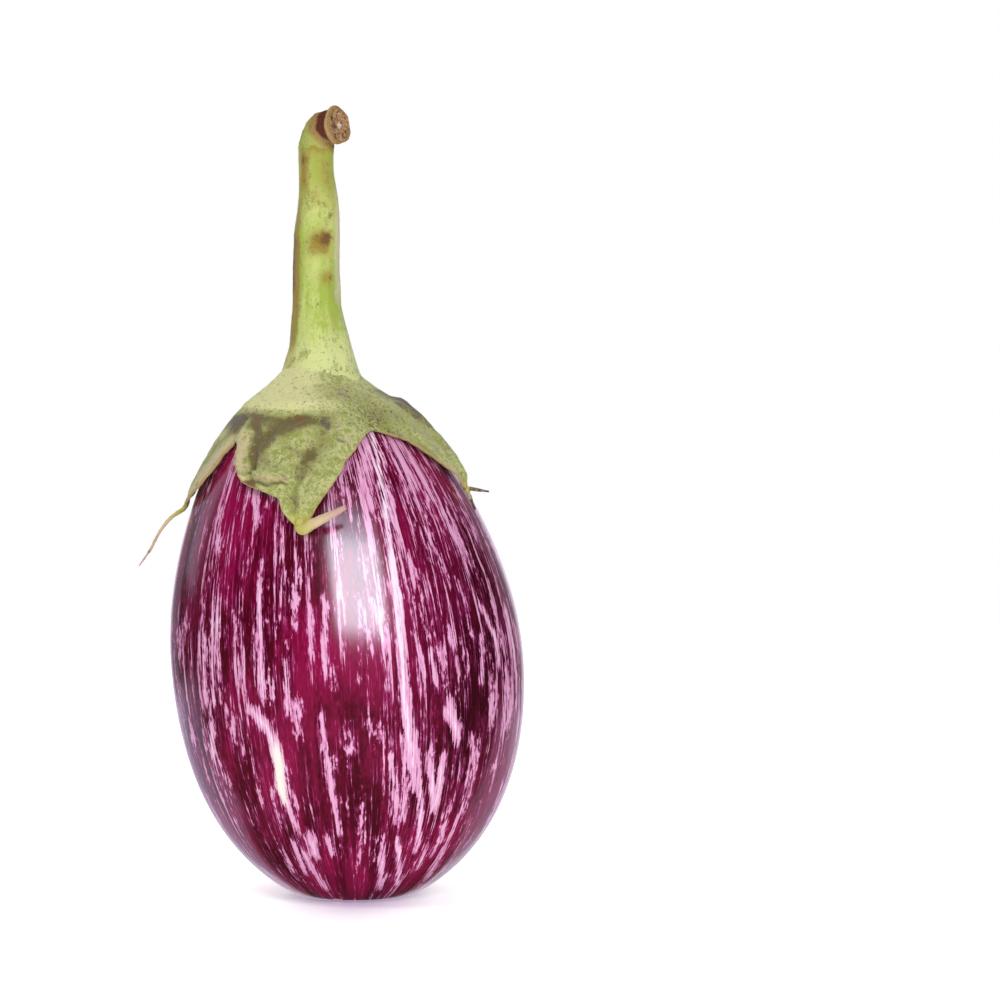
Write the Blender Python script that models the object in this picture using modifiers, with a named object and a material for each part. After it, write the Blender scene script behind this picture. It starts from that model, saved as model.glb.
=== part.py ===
"""A striped, egg-shaped eggplant as picked, standing on its blossom end, with its calyx and cut stalk.

Units are metres, with +Z up. The origin is the middle of the small flat spot that the fruit
stands on. An azimuth is an angle round the fruit, 0 towards -Y and positive towards +X.
A polar angle runs down the fruit, from 0 at its stalk end to 180 degrees at its blossom end.
"""

import math
from collections import namedtuple

import bmesh
import bpy
from mathutils import Vector, noise

MM = 0.001
NODE_GAP = 0.3 * MM

# The fruit: two half ellipsoids that meet at the girth, drawn aside by a slight bend
GIRTH_RADIUS = 38.6 * MM
GIRTH_HEIGHT = 51.7 * MM
LOWER_HALF = 54.8 * MM
UPPER_HALF = 60.8 * MM
SHOULDER_PINCH = 0.27
BELLY_SWELL = 0.09
SIDE_BEND = 0.62
BACK_BEND = 0.15
RIDGE_COUNT = 5
RIDGE_DEPTH = 0.006
FRUIT_SEGMENTS = 56
FRUIT_RINGS = 38

# The calyx: a cap that hugs the fruit's shoulder and parts into five lobes
CAP_CLEARANCE = 0.35 * MM
LOBE_THICKNESS = 0.9 * MM
CROWN_THICKNESS = 5.6 * MM
CROWN_SPREAD = math.radians(10.8)
SEAT_HEIGHT = 114.0 * MM
CAP_ROWS = 6
LOBE_ROWS = 13
LOBE_COLUMNS = 14
EDGE_RAGGEDNESS = 0.10
EDGE_CURL = 0.9 * MM
CREASE_HEIGHT = 0.5 * MM

# The stalk: a stout stem, flared at its foot, that ends in a dry, bent knuckle
STALK_SIDES = 6
AWN_SIDES = 2

PLAIN_EDGE = ((0.0, 1.0), (0.12, 0.74), (0.4, 0.5), (0.75, 0.24), (1.0, 0.035))
FULL_EDGE = ((0.0, 1.0), (0.15, 0.88), (0.45, 0.64), (0.75, 0.34), (1.0, 0.035))
SHOULDERED_EDGE = ((0.0, 1.0), (0.22, 0.84), (0.45, 0.62), (0.56, 0.33), (0.7, 0.2), (0.86, 0.13), (1.0, 0.035))

Sinus = namedtuple("Sinus", "azimuth polar")
Fold = namedtuple("Fold", "across width height")
Lobe = namedtuple("Lobe", "azimuth polar lift left_edge right_edge folds")
Awn = namedtuple("Awn", "lobe steps radii")

# Where neighbouring lobes part, and the lobe that lies between each sinus and the next, in degrees
SINUSES = (
    Sinus(-59, 37),
    Sinus(28, 34),
    Sinus(98, 35),
    Sinus(164, 33),
    Sinus(230, 35),
)
LOBES = (
    Lobe(-10, 60.5, 1.2 * MM, SHOULDERED_EDGE, PLAIN_EDGE,
         (Fold(-0.9, 0.16, 1.4 * MM), Fold(-0.28, 0.2, 0.9 * MM), Fold(0.42, 0.24, 0.7 * MM))),
    Lobe(72, 52.5, 0.9 * MM, PLAIN_EDGE, FULL_EDGE,
         (Fold(-0.45, 0.25, 0.5 * MM), Fold(0.4, 0.25, 0.6 * MM))),
    Lobe(134, 57, 1.6 * MM, FULL_EDGE, PLAIN_EDGE,
         (Fold(-0.4, 0.25, 0.8 * MM), Fold(0.5, 0.2, 0.6 * MM))),
    Lobe(196, 61, 0.9 * MM, PLAIN_EDGE, SHOULDERED_EDGE,
         (Fold(-0.5, 0.25, 0.6 * MM), Fold(0.35, 0.25, 0.9 * MM))),
    Lobe(268, 57, 1.4 * MM, FULL_EDGE, PLAIN_EDGE,
         (Fold(-0.35, 0.3, 0.7 * MM), Fold(0.45, 0.25, 0.5 * MM))),
)

# Dried awns that run on from the lobes' tips: the lobe, steps from its tip and radii, in millimetres
AWN_ROOT = 0.93
AWNS = (
    Awn(0, ((1.9, -1.1, 0.6), (5.2, -2.2, 2.2), (9.4, -2.9, 4.6)), (0.75, 0.9, 0.8, 0.6, 0.38)),
    Awn(1, ((1.2, -0.3, -0.1), (2.6, -0.6, -0.3), (4.9, -1.0, -0.6)), (0.7, 0.75, 0.6, 0.48, 0.34)),
    Awn(1, ((0.6, -0.9, -1.3), (1.2, -1.5, -2.7), (1.9, -2.0, -4.4)), (0.7, 0.7, 0.55, 0.44, 0.34)),
    Awn(2, ((0.4, 1.4, -1.8), (0.9, 2.6, -4.2), (0.8, 3.4, -7.2)), (0.75, 0.8, 0.66, 0.5, 0.36)),
    Awn(3, ((-0.4, 1.4, -2.0), (-1.4, 2.3, -4.8), (-3.2, 2.6, -7.8)), (0.75, 0.8, 0.66, 0.5, 0.36)),
    Awn(4, ((-2.8, -0.4, -3.2), (-5.1, -1.0, -6.3), (-7.5, -1.4, -10.0), (-9.3, -1.6, -13.4)),
        (0.8, 0.95, 0.7, 0.55, 0.45, 0.34)),
)

# The stalk's line, in millimetres, with a radius at each point
STALK_LINE = (
    ((-7.5, 1.6, 114.15), 8.35),
    ((-7.5, 1.6, 116.2), 7.85),
    ((-7.5, 1.6, 120.0), 6.9),
    ((-7.8, 1.5, 124.0), 6.1),
    ((-8.15, 1.3, 129.0), 5.3),
    ((-8.3, 1.1, 137.0), 5.05),
    ((-8.1, 0.8, 144.5), 5.0),
    ((-7.75, 0.4, 149.5), 4.6),
    ((-7.75, 0.2, 153.0), 4.3),
    ((-8.15, 0.0, 158.0), 3.8),
    ((-8.2, 0.0, 161.2), 3.8),
    ((-8.2, 0.0, 163.2), 3.85),
)

# The knuckle: a domed heel on the stalk's end, and a stub that turns aside to the cut face
HEEL_LINE = (
    ((-8.2, 0.0, 163.5), 3.85),
    ((-8.17, -0.02, 165.1), 3.8),
    ((-7.6, -0.2, 166.9), 3.65),
    ((-7.2, -0.45, 168.6), 3.25),
    ((-6.9, -0.7, 169.9), 2.55),
    ((-6.75, -0.85, 170.8), 1.7),
    ((-6.7, -0.9, 171.3), 0.85),
)
STUB_LINE = (
    ((-7.4, -0.6, 167.3), 2.6),
    ((-6.3, -1.3, 167.6), 3.45),
    ((-5.2, -2.0, 167.9), 3.5),
    ((-4.6, -2.4, 168.0), 3.6),
    ((-4.1, -2.75, 168.1), 4.15),
    ((-3.3, -3.25, 168.2), 4.0),
)

FRUIT_LOOK = ("fruit_skin", (0.25, 0.008, 0.075), 0.25)
CALYX_LOOK = ("calyx_green", (0.33, 0.42, 0.13), 0.75)
STALK_LOOK = ("stalk_green", (0.42, 0.55, 0.13), 0.6)
KNUCKLE_LOOK = ("dry_brown", (0.25, 0.13, 0.06), 0.85)


def clear_scene():
    """Removes whatever the scene held."""
    for old in list(bpy.data.objects):
        bpy.data.objects.remove(old)


def new_collection(name):
    """A collection of the scene, for the model or for its cutters."""
    collection = bpy.data.collections.new(name)
    bpy.context.scene.collection.children.link(collection)
    return collection


def new_material(look):
    """A Principled material from a name, a base colour and a roughness."""
    name, colour, roughness = look
    material = bpy.data.materials.new(name)
    material.use_nodes = True
    shader = material.node_tree.nodes["Principled BSDF"]
    shader.inputs["Base Color"].default_value = (*colour, 1.0)
    shader.inputs["Roughness"].default_value = roughness
    shader.inputs["Metallic"].default_value = 0.0
    return material


def new_object(name, mesh, collection, look=None):
    """An object with this mesh, in this collection, with a material of its own if it is given a look."""
    obj = bpy.data.objects.new(name, mesh)
    collection.objects.link(obj)
    if look:
        mesh.materials.append(new_material(look))
    return obj


def evaluated_mesh(obj):
    """The object's mesh with its modifiers applied."""
    bpy.context.view_layer.update()
    graph = bpy.context.evaluated_depsgraph_get()
    return bpy.data.meshes.new_from_object(obj.evaluated_get(graph))


def apply_modifiers(obj):
    """Makes the object's modifiers part of its mesh."""
    mesh = evaluated_mesh(obj)
    obj.modifiers.clear()
    obj.data = mesh


def shade(obj, angle=40):
    """Shades the object smooth, with sharp edges where its faces turn by more than the angle in degrees."""
    obj.data.shade_smooth()
    obj.data.set_sharp_from_angle(angle=math.radians(angle))


def smooth_step(low, high, value):
    """0 below low, 1 above high, and a smooth rise between them."""
    share = min(max((value - low) / (high - low), 0.0), 1.0)
    return share * share * (3 - 2 * share)


def along_edge(edge, share):
    """The width of a lobe's edge, as a share of its width at the sinus, read from the edge's points."""
    for (start, first), (end, second) in zip(edge, edge[1:]):
        if share <= end:
            return first + (second - first) * (share - start) / (end - start)
    return edge[-1][1]


def fruit_point(azimuth, polar):
    """The point of the fruit's skin at an azimuth and polar angle in radians."""
    rise = math.cos(polar)
    half = UPPER_HALF if rise > 0 else LOWER_HALF
    height = GIRTH_HEIGHT + half * rise
    if rise > 0:
        fullness = 1 - SHOULDER_PINCH * rise**2 * (1 - rise)
    else:
        fullness = 1 + BELLY_SWELL * rise**2 * (1 - rise**2)
    ridge = 1 + RIDGE_DEPTH * math.sin(polar) ** 2 * math.cos(RIDGE_COUNT * azimuth)
    radius = GIRTH_RADIUS * math.sin(polar) * fullness * ridge
    return Vector((
        radius * math.sin(azimuth) - SIDE_BEND * height**2,
        -radius * math.cos(azimuth) + BACK_BEND * height**2,
        height,
    ))


def fruit_normal(azimuth, polar):
    """The skin's outward direction at an azimuth and polar angle in radians."""
    step = 0.002
    polar = max(polar, 2 * step)
    down = fruit_point(azimuth, polar + step) - fruit_point(azimuth, polar - step)
    aside = fruit_point(azimuth + step, polar) - fruit_point(azimuth - step, polar)
    return down.cross(aside).normalized()


def make_fruit(collection):
    """The fruit: a sphere drawn out to the egg shape and cut level where it stands."""
    shape = bmesh.new()
    bmesh.ops.create_uvsphere(shape, u_segments=FRUIT_SEGMENTS, v_segments=FRUIT_RINGS, radius=1.0)
    for vertex in shape.verts:
        azimuth = math.atan2(vertex.co.x, -vertex.co.y)
        polar = math.acos(max(-1.0, min(1.0, vertex.co.z)))
        vertex.co = fruit_point(azimuth, polar)
    cut = bmesh.ops.bisect_plane(
        shape, geom=shape.verts[:] + shape.edges[:] + shape.faces[:],
        plane_co=(0, 0, 0), plane_no=(0, 0, 1), clear_inner=True)
    rim = [item for item in cut["geom_cut"] if isinstance(item, bmesh.types.BMEdge)]
    bmesh.ops.holes_fill(shape, edges=rim, sides=0)
    bmesh.ops.recalc_face_normals(shape, faces=shape.faces[:])
    mesh = bpy.data.meshes.new("fruit")
    shape.to_mesh(mesh)
    shape.free()
    fruit = new_object("fruit", mesh, collection, FRUIT_LOOK)
    shade(fruit)
    return fruit


def calyx_thickness(polar):
    """The cap's thickness at a polar angle: thin in the lobes, and heaped up under the stalk."""
    return LOBE_THICKNESS + CROWN_THICKNESS * math.exp(-((polar / CROWN_SPREAD) ** 2))


def lobe_relief(lobe, across, share):
    """How far the lobe's underside stands off the skin, across its width and along its free length."""
    open_share = smooth_step(0.0, 0.35, share)
    relief = CAP_CLEARANCE + lobe.lift * smooth_step(0.35, 1.0, share)
    relief += EDGE_CURL * abs(across) ** 4 * open_share * (1 - smooth_step(0.8, 1.0, share))
    relief += CREASE_HEIGHT * math.exp(-((across / 0.12) ** 2)) * open_share * (1 - share)
    for fold in lobe.folds:
        swell = math.exp(-(((across - fold.across) / fold.width) ** 2))
        relief += fold.height * swell * open_share * (1 - smooth_step(0.55, 0.95, share))
    return relief


def calyx_place(index, across, along):
    """The azimuth, polar angle and relief of a point of the cap's underside.

    across runs from -1 at a lobe's left edge to 1 at its right, and along from 0 at the stalk to 1 at the tip.
    """
    lobe = LOBES[index]
    left, right = SINUSES[index], SINUSES[(index + 1) % len(SINUSES)]
    side, edge = (left, lobe.left_edge) if across < 0 else (right, lobe.right_edge)
    turn = 360 if side.azimuth < lobe.azimuth and across >= 0 else 0
    spread = side.azimuth + turn - lobe.azimuth
    middle_polar = (left.polar + right.polar) / 2
    parting = middle_polar + (side.polar - middle_polar) * abs(across)
    cap_share = CAP_ROWS / (CAP_ROWS + LOBE_ROWS)
    if along <= cap_share:
        share = 0.0
        azimuth = lobe.azimuth + spread * abs(across)
        polar = parting * along / cap_share
    else:
        share = (along - cap_share) / (1 - cap_share)
        rag = noise.noise(Vector((share * 5.0, index * 3.7, 2.0 if across < 0 else 8.0)))
        width = along_edge(edge, share) * (1 + EDGE_RAGGEDNESS * rag * smooth_step(0.0, 0.1, share))
        azimuth = lobe.azimuth + spread * abs(across) * width
        polar = parting + (lobe.polar - parting) * share
    return math.radians(azimuth), math.radians(polar), lobe_relief(lobe, across, share)


def awn_line(awn):
    """An awn's line in millimetres: out of its lobe, through the lobe's tip and on by the awn's steps."""
    line = []
    for along in (AWN_ROOT, 1.0):
        azimuth, polar, relief = calyx_place(awn.lobe, 0.0, along)
        middle = relief + LOBE_THICKNESS / 2
        line.append((fruit_point(azimuth, polar) + middle * fruit_normal(azimuth, polar)) / MM)
    tip = line[-1]
    for step in awn.steps:
        line.append(tip + Vector(step))
    return line


def make_calyx_cap():
    """The calyx's underside as one open sheet: a mapped grid for each lobe, joined along the cap."""
    sheet = bmesh.new()
    rows = CAP_ROWS + LOBE_ROWS
    for index in range(len(LOBES)):
        grid = bmesh.ops.create_grid(sheet, x_segments=LOBE_COLUMNS, y_segments=rows, size=1.0)
        for vertex in grid["verts"]:
            azimuth, polar, relief = calyx_place(index, vertex.co.x, (vertex.co.y + 1) / 2)
            vertex.co = fruit_point(azimuth, polar) + relief * fruit_normal(azimuth, polar)
    bmesh.ops.remove_doubles(sheet, verts=sheet.verts[:], dist=0.01 * MM)
    bmesh.ops.recalc_face_normals(sheet, faces=sheet.faces[:])
    bmesh.ops.triangulate(sheet, faces=sheet.faces[:])
    mesh = bpy.data.meshes.new("calyx")
    sheet.to_mesh(mesh)
    sheet.free()
    return mesh


def weigh_thickness(obj):
    """A vertex group that gives each point of the cap its share of the thickest part."""
    group = obj.vertex_groups.new(name="thickness")
    thickest = calyx_thickness(0.0)
    for vertex in obj.data.vertices:
        rise = (vertex.co.z - GIRTH_HEIGHT) / UPPER_HALF
        polar = math.acos(max(-1.0, min(1.0, rise)))
        group.add([vertex.index], calyx_thickness(polar) / thickest, "REPLACE")
    return thickest


def make_tube(name, line, collection, sides, look=None):
    """A round stem along a line of ((x, y, z), radius) in millimetres, as a closed mesh with flat ends."""
    curve = bpy.data.curves.new(name, "CURVE")
    curve.dimensions = "3D"
    curve.bevel_depth = MM
    curve.bevel_resolution = sides
    curve.use_fill_caps = True
    curve.resolution_u = 3
    line = list(line)
    spline = curve.splines.new("BEZIER")
    spline.radius_interpolation = "CARDINAL"
    spline.bezier_points.add(len(line) - 1)
    for point, (place, radius) in zip(spline.bezier_points, line):
        point.co = Vector(place) * MM
        point.radius = radius
        point.handle_left_type = "AUTO"
        point.handle_right_type = "AUTO"
    guide = bpy.data.objects.new(name + "_guide", curve)
    collection.objects.link(guide)
    mesh = evaluated_mesh(guide)
    welded = bmesh.new()
    welded.from_mesh(mesh)
    bmesh.ops.remove_doubles(welded, verts=welded.verts[:], dist=0.01 * MM)
    bmesh.ops.recalc_face_normals(welded, faces=welded.faces[:])
    welded.to_mesh(mesh)
    welded.free()
    bpy.data.objects.remove(guide)
    mesh.name = name
    return new_object(name, mesh, collection, look)


def fuse(obj, lines, sides):
    """Makes a round stem along each line and unites them all with the object."""
    stems = new_collection(obj.name + "_stems")
    for line in lines:
        make_tube("stem", line, stems, sides)
    join = obj.modifiers.new("stems", "BOOLEAN")
    join.operation = "UNION"
    join.operand_type = "COLLECTION"
    join.collection = stems
    apply_modifiers(obj)
    for stem in list(stems.objects):
        bpy.data.objects.remove(stem)
    bpy.data.collections.remove(stems)


def make_calyx(collection, helpers):
    """The calyx: the cap given its thickness, with its awns fused on and its crown cut level for the stalk."""
    calyx = new_object("calyx", make_calyx_cap(), collection, CALYX_LOOK)
    thickness = weigh_thickness(calyx)
    solid = calyx.modifiers.new("thickness", "SOLIDIFY")
    solid.thickness = thickness
    solid.offset = 1.0
    solid.vertex_group = "thickness"
    apply_modifiers(calyx)

    fuse(calyx, [zip(awn_line(awn), awn.radii, strict=True) for awn in AWNS], AWN_SIDES)

    level = calyx.modifiers.new("seat", "BOOLEAN")
    level.operation = "DIFFERENCE"
    level.object = make_seat_cutter(helpers)
    apply_modifiers(calyx)
    shade(calyx)
    return calyx


def make_seat_cutter(helpers):
    """The block that cuts the calyx's crown level, where the stalk's foot sits."""
    side = 40 * MM
    block = bmesh.new()
    bmesh.ops.create_cube(block, size=side)
    mesh = bpy.data.meshes.new("seat_cutter")
    block.to_mesh(mesh)
    block.free()
    cutter = new_object("seat_cutter", mesh, helpers)
    cutter.location = (0, 0, SEAT_HEIGHT - NODE_GAP / 2 + side / 2)
    cutter.hide_render = True
    cutter.display_type = "WIRE"
    return cutter


def make_stalk(collection):
    """The stalk, from its flared foot to the knuckle."""
    stalk = make_tube("stalk", STALK_LINE, collection, STALK_SIDES, STALK_LOOK)
    shade(stalk)
    return stalk


def make_stalk_end(collection):
    """The dry knuckle: the heel with the stub of the cut face fused on."""
    knuckle = make_tube("stalk_end", HEEL_LINE, collection, STALK_SIDES, KNUCKLE_LOOK)
    fuse(knuckle, [STUB_LINE], STALK_SIDES)
    shade(knuckle)
    return knuckle


def main():
    """Builds the eggplant: its fruit, calyx, stalk and knuckle."""
    clear_scene()
    eggplant = new_collection("eggplant")
    helpers = new_collection("cutters")
    make_fruit(eggplant)
    make_calyx(eggplant, helpers)
    make_stalk(eggplant)
    make_stalk_end(eggplant)


if __name__ == "__main__":
    main()
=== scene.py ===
"""A striped, egg-shaped eggplant that stands on its blossom end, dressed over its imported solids.

Lengths are in metres unless a name says otherwise, with +Z up. The camera looks along +Y.
An azimuth is an angle round the fruit, 0 towards -Y and positive towards +X. A polar angle
runs down the fruit, from 0 at its stalk end to 180 degrees at its blossom end.
"""

import logging
import math
from dataclasses import dataclass
from enum import Enum

import bpy
import numpy as np
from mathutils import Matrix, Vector, noise


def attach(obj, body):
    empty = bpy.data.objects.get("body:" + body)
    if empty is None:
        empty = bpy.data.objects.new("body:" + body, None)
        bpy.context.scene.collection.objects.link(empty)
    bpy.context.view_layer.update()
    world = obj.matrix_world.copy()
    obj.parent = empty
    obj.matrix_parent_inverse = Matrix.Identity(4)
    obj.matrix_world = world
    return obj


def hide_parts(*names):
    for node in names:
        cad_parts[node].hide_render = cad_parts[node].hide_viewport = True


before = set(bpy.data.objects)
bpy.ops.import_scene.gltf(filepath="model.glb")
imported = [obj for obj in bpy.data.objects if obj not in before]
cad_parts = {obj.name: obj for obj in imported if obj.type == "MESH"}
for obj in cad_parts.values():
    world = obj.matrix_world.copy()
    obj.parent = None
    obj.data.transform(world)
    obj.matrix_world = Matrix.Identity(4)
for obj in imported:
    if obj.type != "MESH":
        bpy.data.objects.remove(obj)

MM = 0.001
BODY = "root"

log = logging.getLogger("eggplant")

Colour = tuple[float, float, float]
Place = tuple[float, float, float]
StreakLine = tuple[Place, ...]


def paint(code: str) -> Colour:
    """The linear colour of a six-digit display colour."""
    shares = [int(code[start:start + 2], 16) / 255 for start in (0, 2, 4)]
    return tuple(share / 12.92 if share <= 0.04045 else ((share + 0.055) / 1.055) ** 2.4 for share in shares)


def smooth_step(low: float, high: float, value: np.ndarray) -> np.ndarray:
    """0 below low, 1 above high, and a smooth rise between them."""
    share = np.clip((value - low) / (high - low), 0, 1)
    return share * share * (3 - 2 * share)


def bumps(places: np.ndarray, size: float, shift: float = 0.0) -> np.ndarray:
    """Smooth noise between about -1 and 1 at each place.

    Args:
        places: One row of coordinates for each point.
        size: The size of one bump.
        shift: Moves the pattern, so that two patterns differ.

    Returns:
        One value for each point.
    """
    offset = Vector((shift, -shift, 2 * shift))
    return np.array([noise.noise(Vector(place) / size + offset) for place in places])


class Value:
    """A number, colour or vector in a material's nodes, which takes part in Python expressions."""

    def __init__(self, graph: "Graph", socket: bpy.types.NodeSocket) -> None:
        """Wraps an output socket of the graph."""
        self.graph = graph
        self.socket = socket

    def math(self, operation: str, *terms: "Value | float") -> "Value":
        """Adds a Math node with these terms."""
        return self.graph.node("ShaderNodeMath", {"operation": operation}, dict(enumerate(terms)))

    def __add__(self, other: "Value | float") -> "Value":
        """The sum."""
        return self.math("ADD", self, other)

    def __radd__(self, other: float) -> "Value":
        """The sum, with the number first."""
        return self.math("ADD", other, self)

    def __sub__(self, other: "Value | float") -> "Value":
        """The difference."""
        return self.math("SUBTRACT", self, other)

    def __rsub__(self, other: float) -> "Value":
        """The difference, with the number first."""
        return self.math("SUBTRACT", other, self)

    def __mul__(self, other: "Value | float") -> "Value":
        """The product."""
        return self.math("MULTIPLY", self, other)

    def __rmul__(self, other: float) -> "Value":
        """The product, with the number first."""
        return self.math("MULTIPLY", other, self)

    def over(self, other: "Value | float") -> "Value":
        """The larger of the two."""
        return self.math("MAXIMUM", self, other)

    def rise(self, low: float, high: float) -> "Value":
        """0 below low, 1 above high, and a smooth rise between them."""
        return self.graph.node("ShaderNodeMapRange", {"interpolation_type": "SMOOTHSTEP"},
                               {"Value": self, "From Min": low, "From Max": high})


class Graph:
    """The node tree of one material, round its Principled shader."""

    def __init__(self, name: str) -> None:
        """Makes the material and keeps its tree and shader.

        Args:
            name: The material's name.
        """
        self.material = bpy.data.materials.new(name)
        self.material.use_nodes = True
        self.tree = self.material.node_tree
        self.shader = self.tree.nodes["Principled BSDF"]

    def plug(self, socket: bpy.types.NodeSocket, value: "Value | float | tuple") -> None:
        """Links a value to a socket, or sets the socket.

        Args:
            socket: The input socket.
            value: A value to link, or a number, colour or vector to set.
        """
        if isinstance(value, Value):
            self.tree.links.new(value.socket, socket)
        elif isinstance(value, tuple) and socket.type == "RGBA":
            socket.default_value = (*value[:3], 1.0)
        else:
            socket.default_value = value

    def node(self, kind: str, settings: dict | None = None, inputs: dict | None = None,
             output: int = 0) -> Value:
        """Adds a node.

        Args:
            kind: The node's type.
            settings: The node's own properties, which are set first.
            inputs: Values or links by socket name or number.
            output: The number of the output that is returned.

        Returns:
            The output as a Value.
        """
        made = self.tree.nodes.new(kind)
        for name, setting in (settings or {}).items():
            setattr(made, name, setting)
        for key, value in (inputs or {}).items():
            self.plug(made.inputs[key], value)
        return Value(self, made.outputs[output])

    def attribute(self, name: str, vector: bool = False) -> Value:
        """The piece's own attribute, as a vector or a number."""
        return self.node("ShaderNodeAttribute", {"attribute_name": name}, output=1 if vector else 2)

    def position(self) -> Value:
        """The place on the piece, in metres."""
        return self.node("ShaderNodeTexCoord", output=3)

    def grain(self, place: Value, scale: Place, detail: float = 2.0, roughness: float = 0.5,
              shift: float = 0.0) -> Value:
        """Smooth noise round 0.5, stretched along the axes.

        Args:
            place: The vector that it is read at.
            scale: The noise's fineness along each axis.
            detail: The number of finer layers.
            roughness: The strength of the finer layers.
            shift: Moves the pattern, so that two patterns differ.

        Returns:
            The noise.
        """
        stretched = self.node("ShaderNodeVectorMath", {"operation": "MULTIPLY_ADD"},
                              {0: place, 1: scale, 2: (shift, shift, shift)})
        return self.node("ShaderNodeTexNoise", None,
                         {"Vector": stretched, "Scale": 1.0, "Detail": detail, "Roughness": roughness})

    def mix(self, first: "Value | Colour", second: "Value | Colour", share: Value) -> Value:
        """A colour that goes from the first to the second as the share goes from 0 to 1."""
        return self.node("ShaderNodeMix", {"data_type": "RGBA"}, {0: share, 6: first, 7: second}, output=2)

    def bump(self, height: Value, distance: float, strength: float = 1.0,
             under: Value | None = None) -> Value:
        """A bumped normal.

        Args:
            height: The relief, from 0 to 1.
            distance: The relief's height in metres.
            strength: The share of the bump that shows.
            under: A bumped normal that this one lies on.

        Returns:
            The normal.
        """
        inputs = {"Height": height, "Distance": distance, "Strength": strength}
        if under:
            inputs["Normal"] = under
        return self.node("ShaderNodeBump", None, inputs)

    def finish(self, **sockets: "Value | float | tuple") -> bpy.types.Material:
        """Feeds the shader's sockets.

        Args:
            sockets: Values by the socket's name, with underscores for spaces.

        Returns:
            The material.
        """
        for name, value in sockets.items():
            self.plug(self.shader.inputs[name.replace("_", " ")], value)
        return self.material


@dataclass(frozen=True)
class SkinFinish:
    """Taut waxy skin with broken pale streaks that run from the stalk to the blossom end, and painted shade
    that darkens it towards its sides.
    """

    wine: Colour = paint("4a0014")
    magenta: Colour = paint("8c0640")
    painted_shade_colour: Colour = paint("1e0005")
    halo: Colour = paint("b03c7c")
    pink: Colour = paint("c96fa0")
    rose: Colour = paint("e6a9cb")
    white: Colour = paint("f8e6f2")
    cream: Colour = paint("f6efe0")
    roughness: float = 0.3
    inner_shine: float = 0.04
    wax_roughness: float = 0.17
    wax_ior: float = 1.7

    def make(self) -> bpy.types.Material:
        """Builds the skin's material.

        Returns:
            The material.
        """
        graph = Graph("fruit_skin")
        place = graph.attribute("skin_place", vector=True)
        drawn = graph.attribute("streak")
        crowding = graph.attribute("crowding")
        bands = graph.grain(place, (15, 15, 1.0), 1.0, 0.5, 3.1) - 0.5
        strands = graph.grain(place, (36, 36, 2.2), 2.0, 0.5, 21.3) - 0.5
        threads = graph.grain(place, (100, 100, 4.2), 2.0, 0.55, 7.3) - 0.5
        hairs = graph.grain(place, (210, 210, 11), 2.0, 0.6, 27.0) - 0.5
        rag = graph.grain(place, (64, 64, 20), 3.0, 0.62) - 0.5
        splash = graph.grain(place, (12, 12, 3.6), 1.0, 0.5, 11.7) - 0.5
        fine = bands * 0.9 + strands * 0.8 + threads * 0.65 + hairs * 0.3 + rag * 0.4 + crowding
        blots = splash * 1.1 + strands * 0.5 + rag * 0.9 + crowding * 0.4 - 0.075
        marks = drawn * 0.3 + rag * 0.6 + threads * 0.45 + strands * 0.15 + 0.08
        level = fine.over(blots).over(marks)
        soft = (level + threads * 0.8 + hairs * 0.6).rise(-0.025, 0.11)
        core = (level + hairs * 0.2).rise(0.055, 0.135)
        tone = graph.grain(place, (1.9, 1.9, 1.3), 2.0, 0.55, 5.0)
        dark = graph.grain(place, (9, 9, 1.6), 2.0, 0.6, 17.0)
        reddened = (tone * 0.9 + dark * 0.5 + rag * 0.45 + strands * 0.3).rise(0.52, 0.9)
        ground = graph.mix(self.wine, self.magenta, reddened)
        # Painted shade: the ground is darkened towards the fruit's sides, where less light falls.
        ground = graph.mix(ground, self.painted_shade_colour, graph.attribute("painted_shade"))
        ground = graph.mix(ground, self.halo, soft * 0.62)
        streak = graph.mix(self.pink, self.rose, (level + threads * 0.8 + hairs * 0.6).rise(0.04, 0.2))
        bright = (drawn * 0.3 + level * 1.4 + threads * 1.2 + hairs + crowding * 2.4).rise(0.2, 0.75)
        streak = graph.mix(streak, self.white, bright)
        streak = graph.mix(streak, self.cream, graph.attribute("cream"))
        colour = graph.mix(ground, streak, core)
        normal = graph.bump(bands + tone, 0.00025, 0.5)
        return graph.finish(Base_Color=colour, Roughness=self.roughness + rag * 0.12, Normal=normal,
                            IOR=1.5, Specular_IOR_Level=self.inner_shine, Coat_Weight=1.0,
                            Coat_Roughness=self.wax_roughness, Coat_IOR=self.wax_ior)


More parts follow.
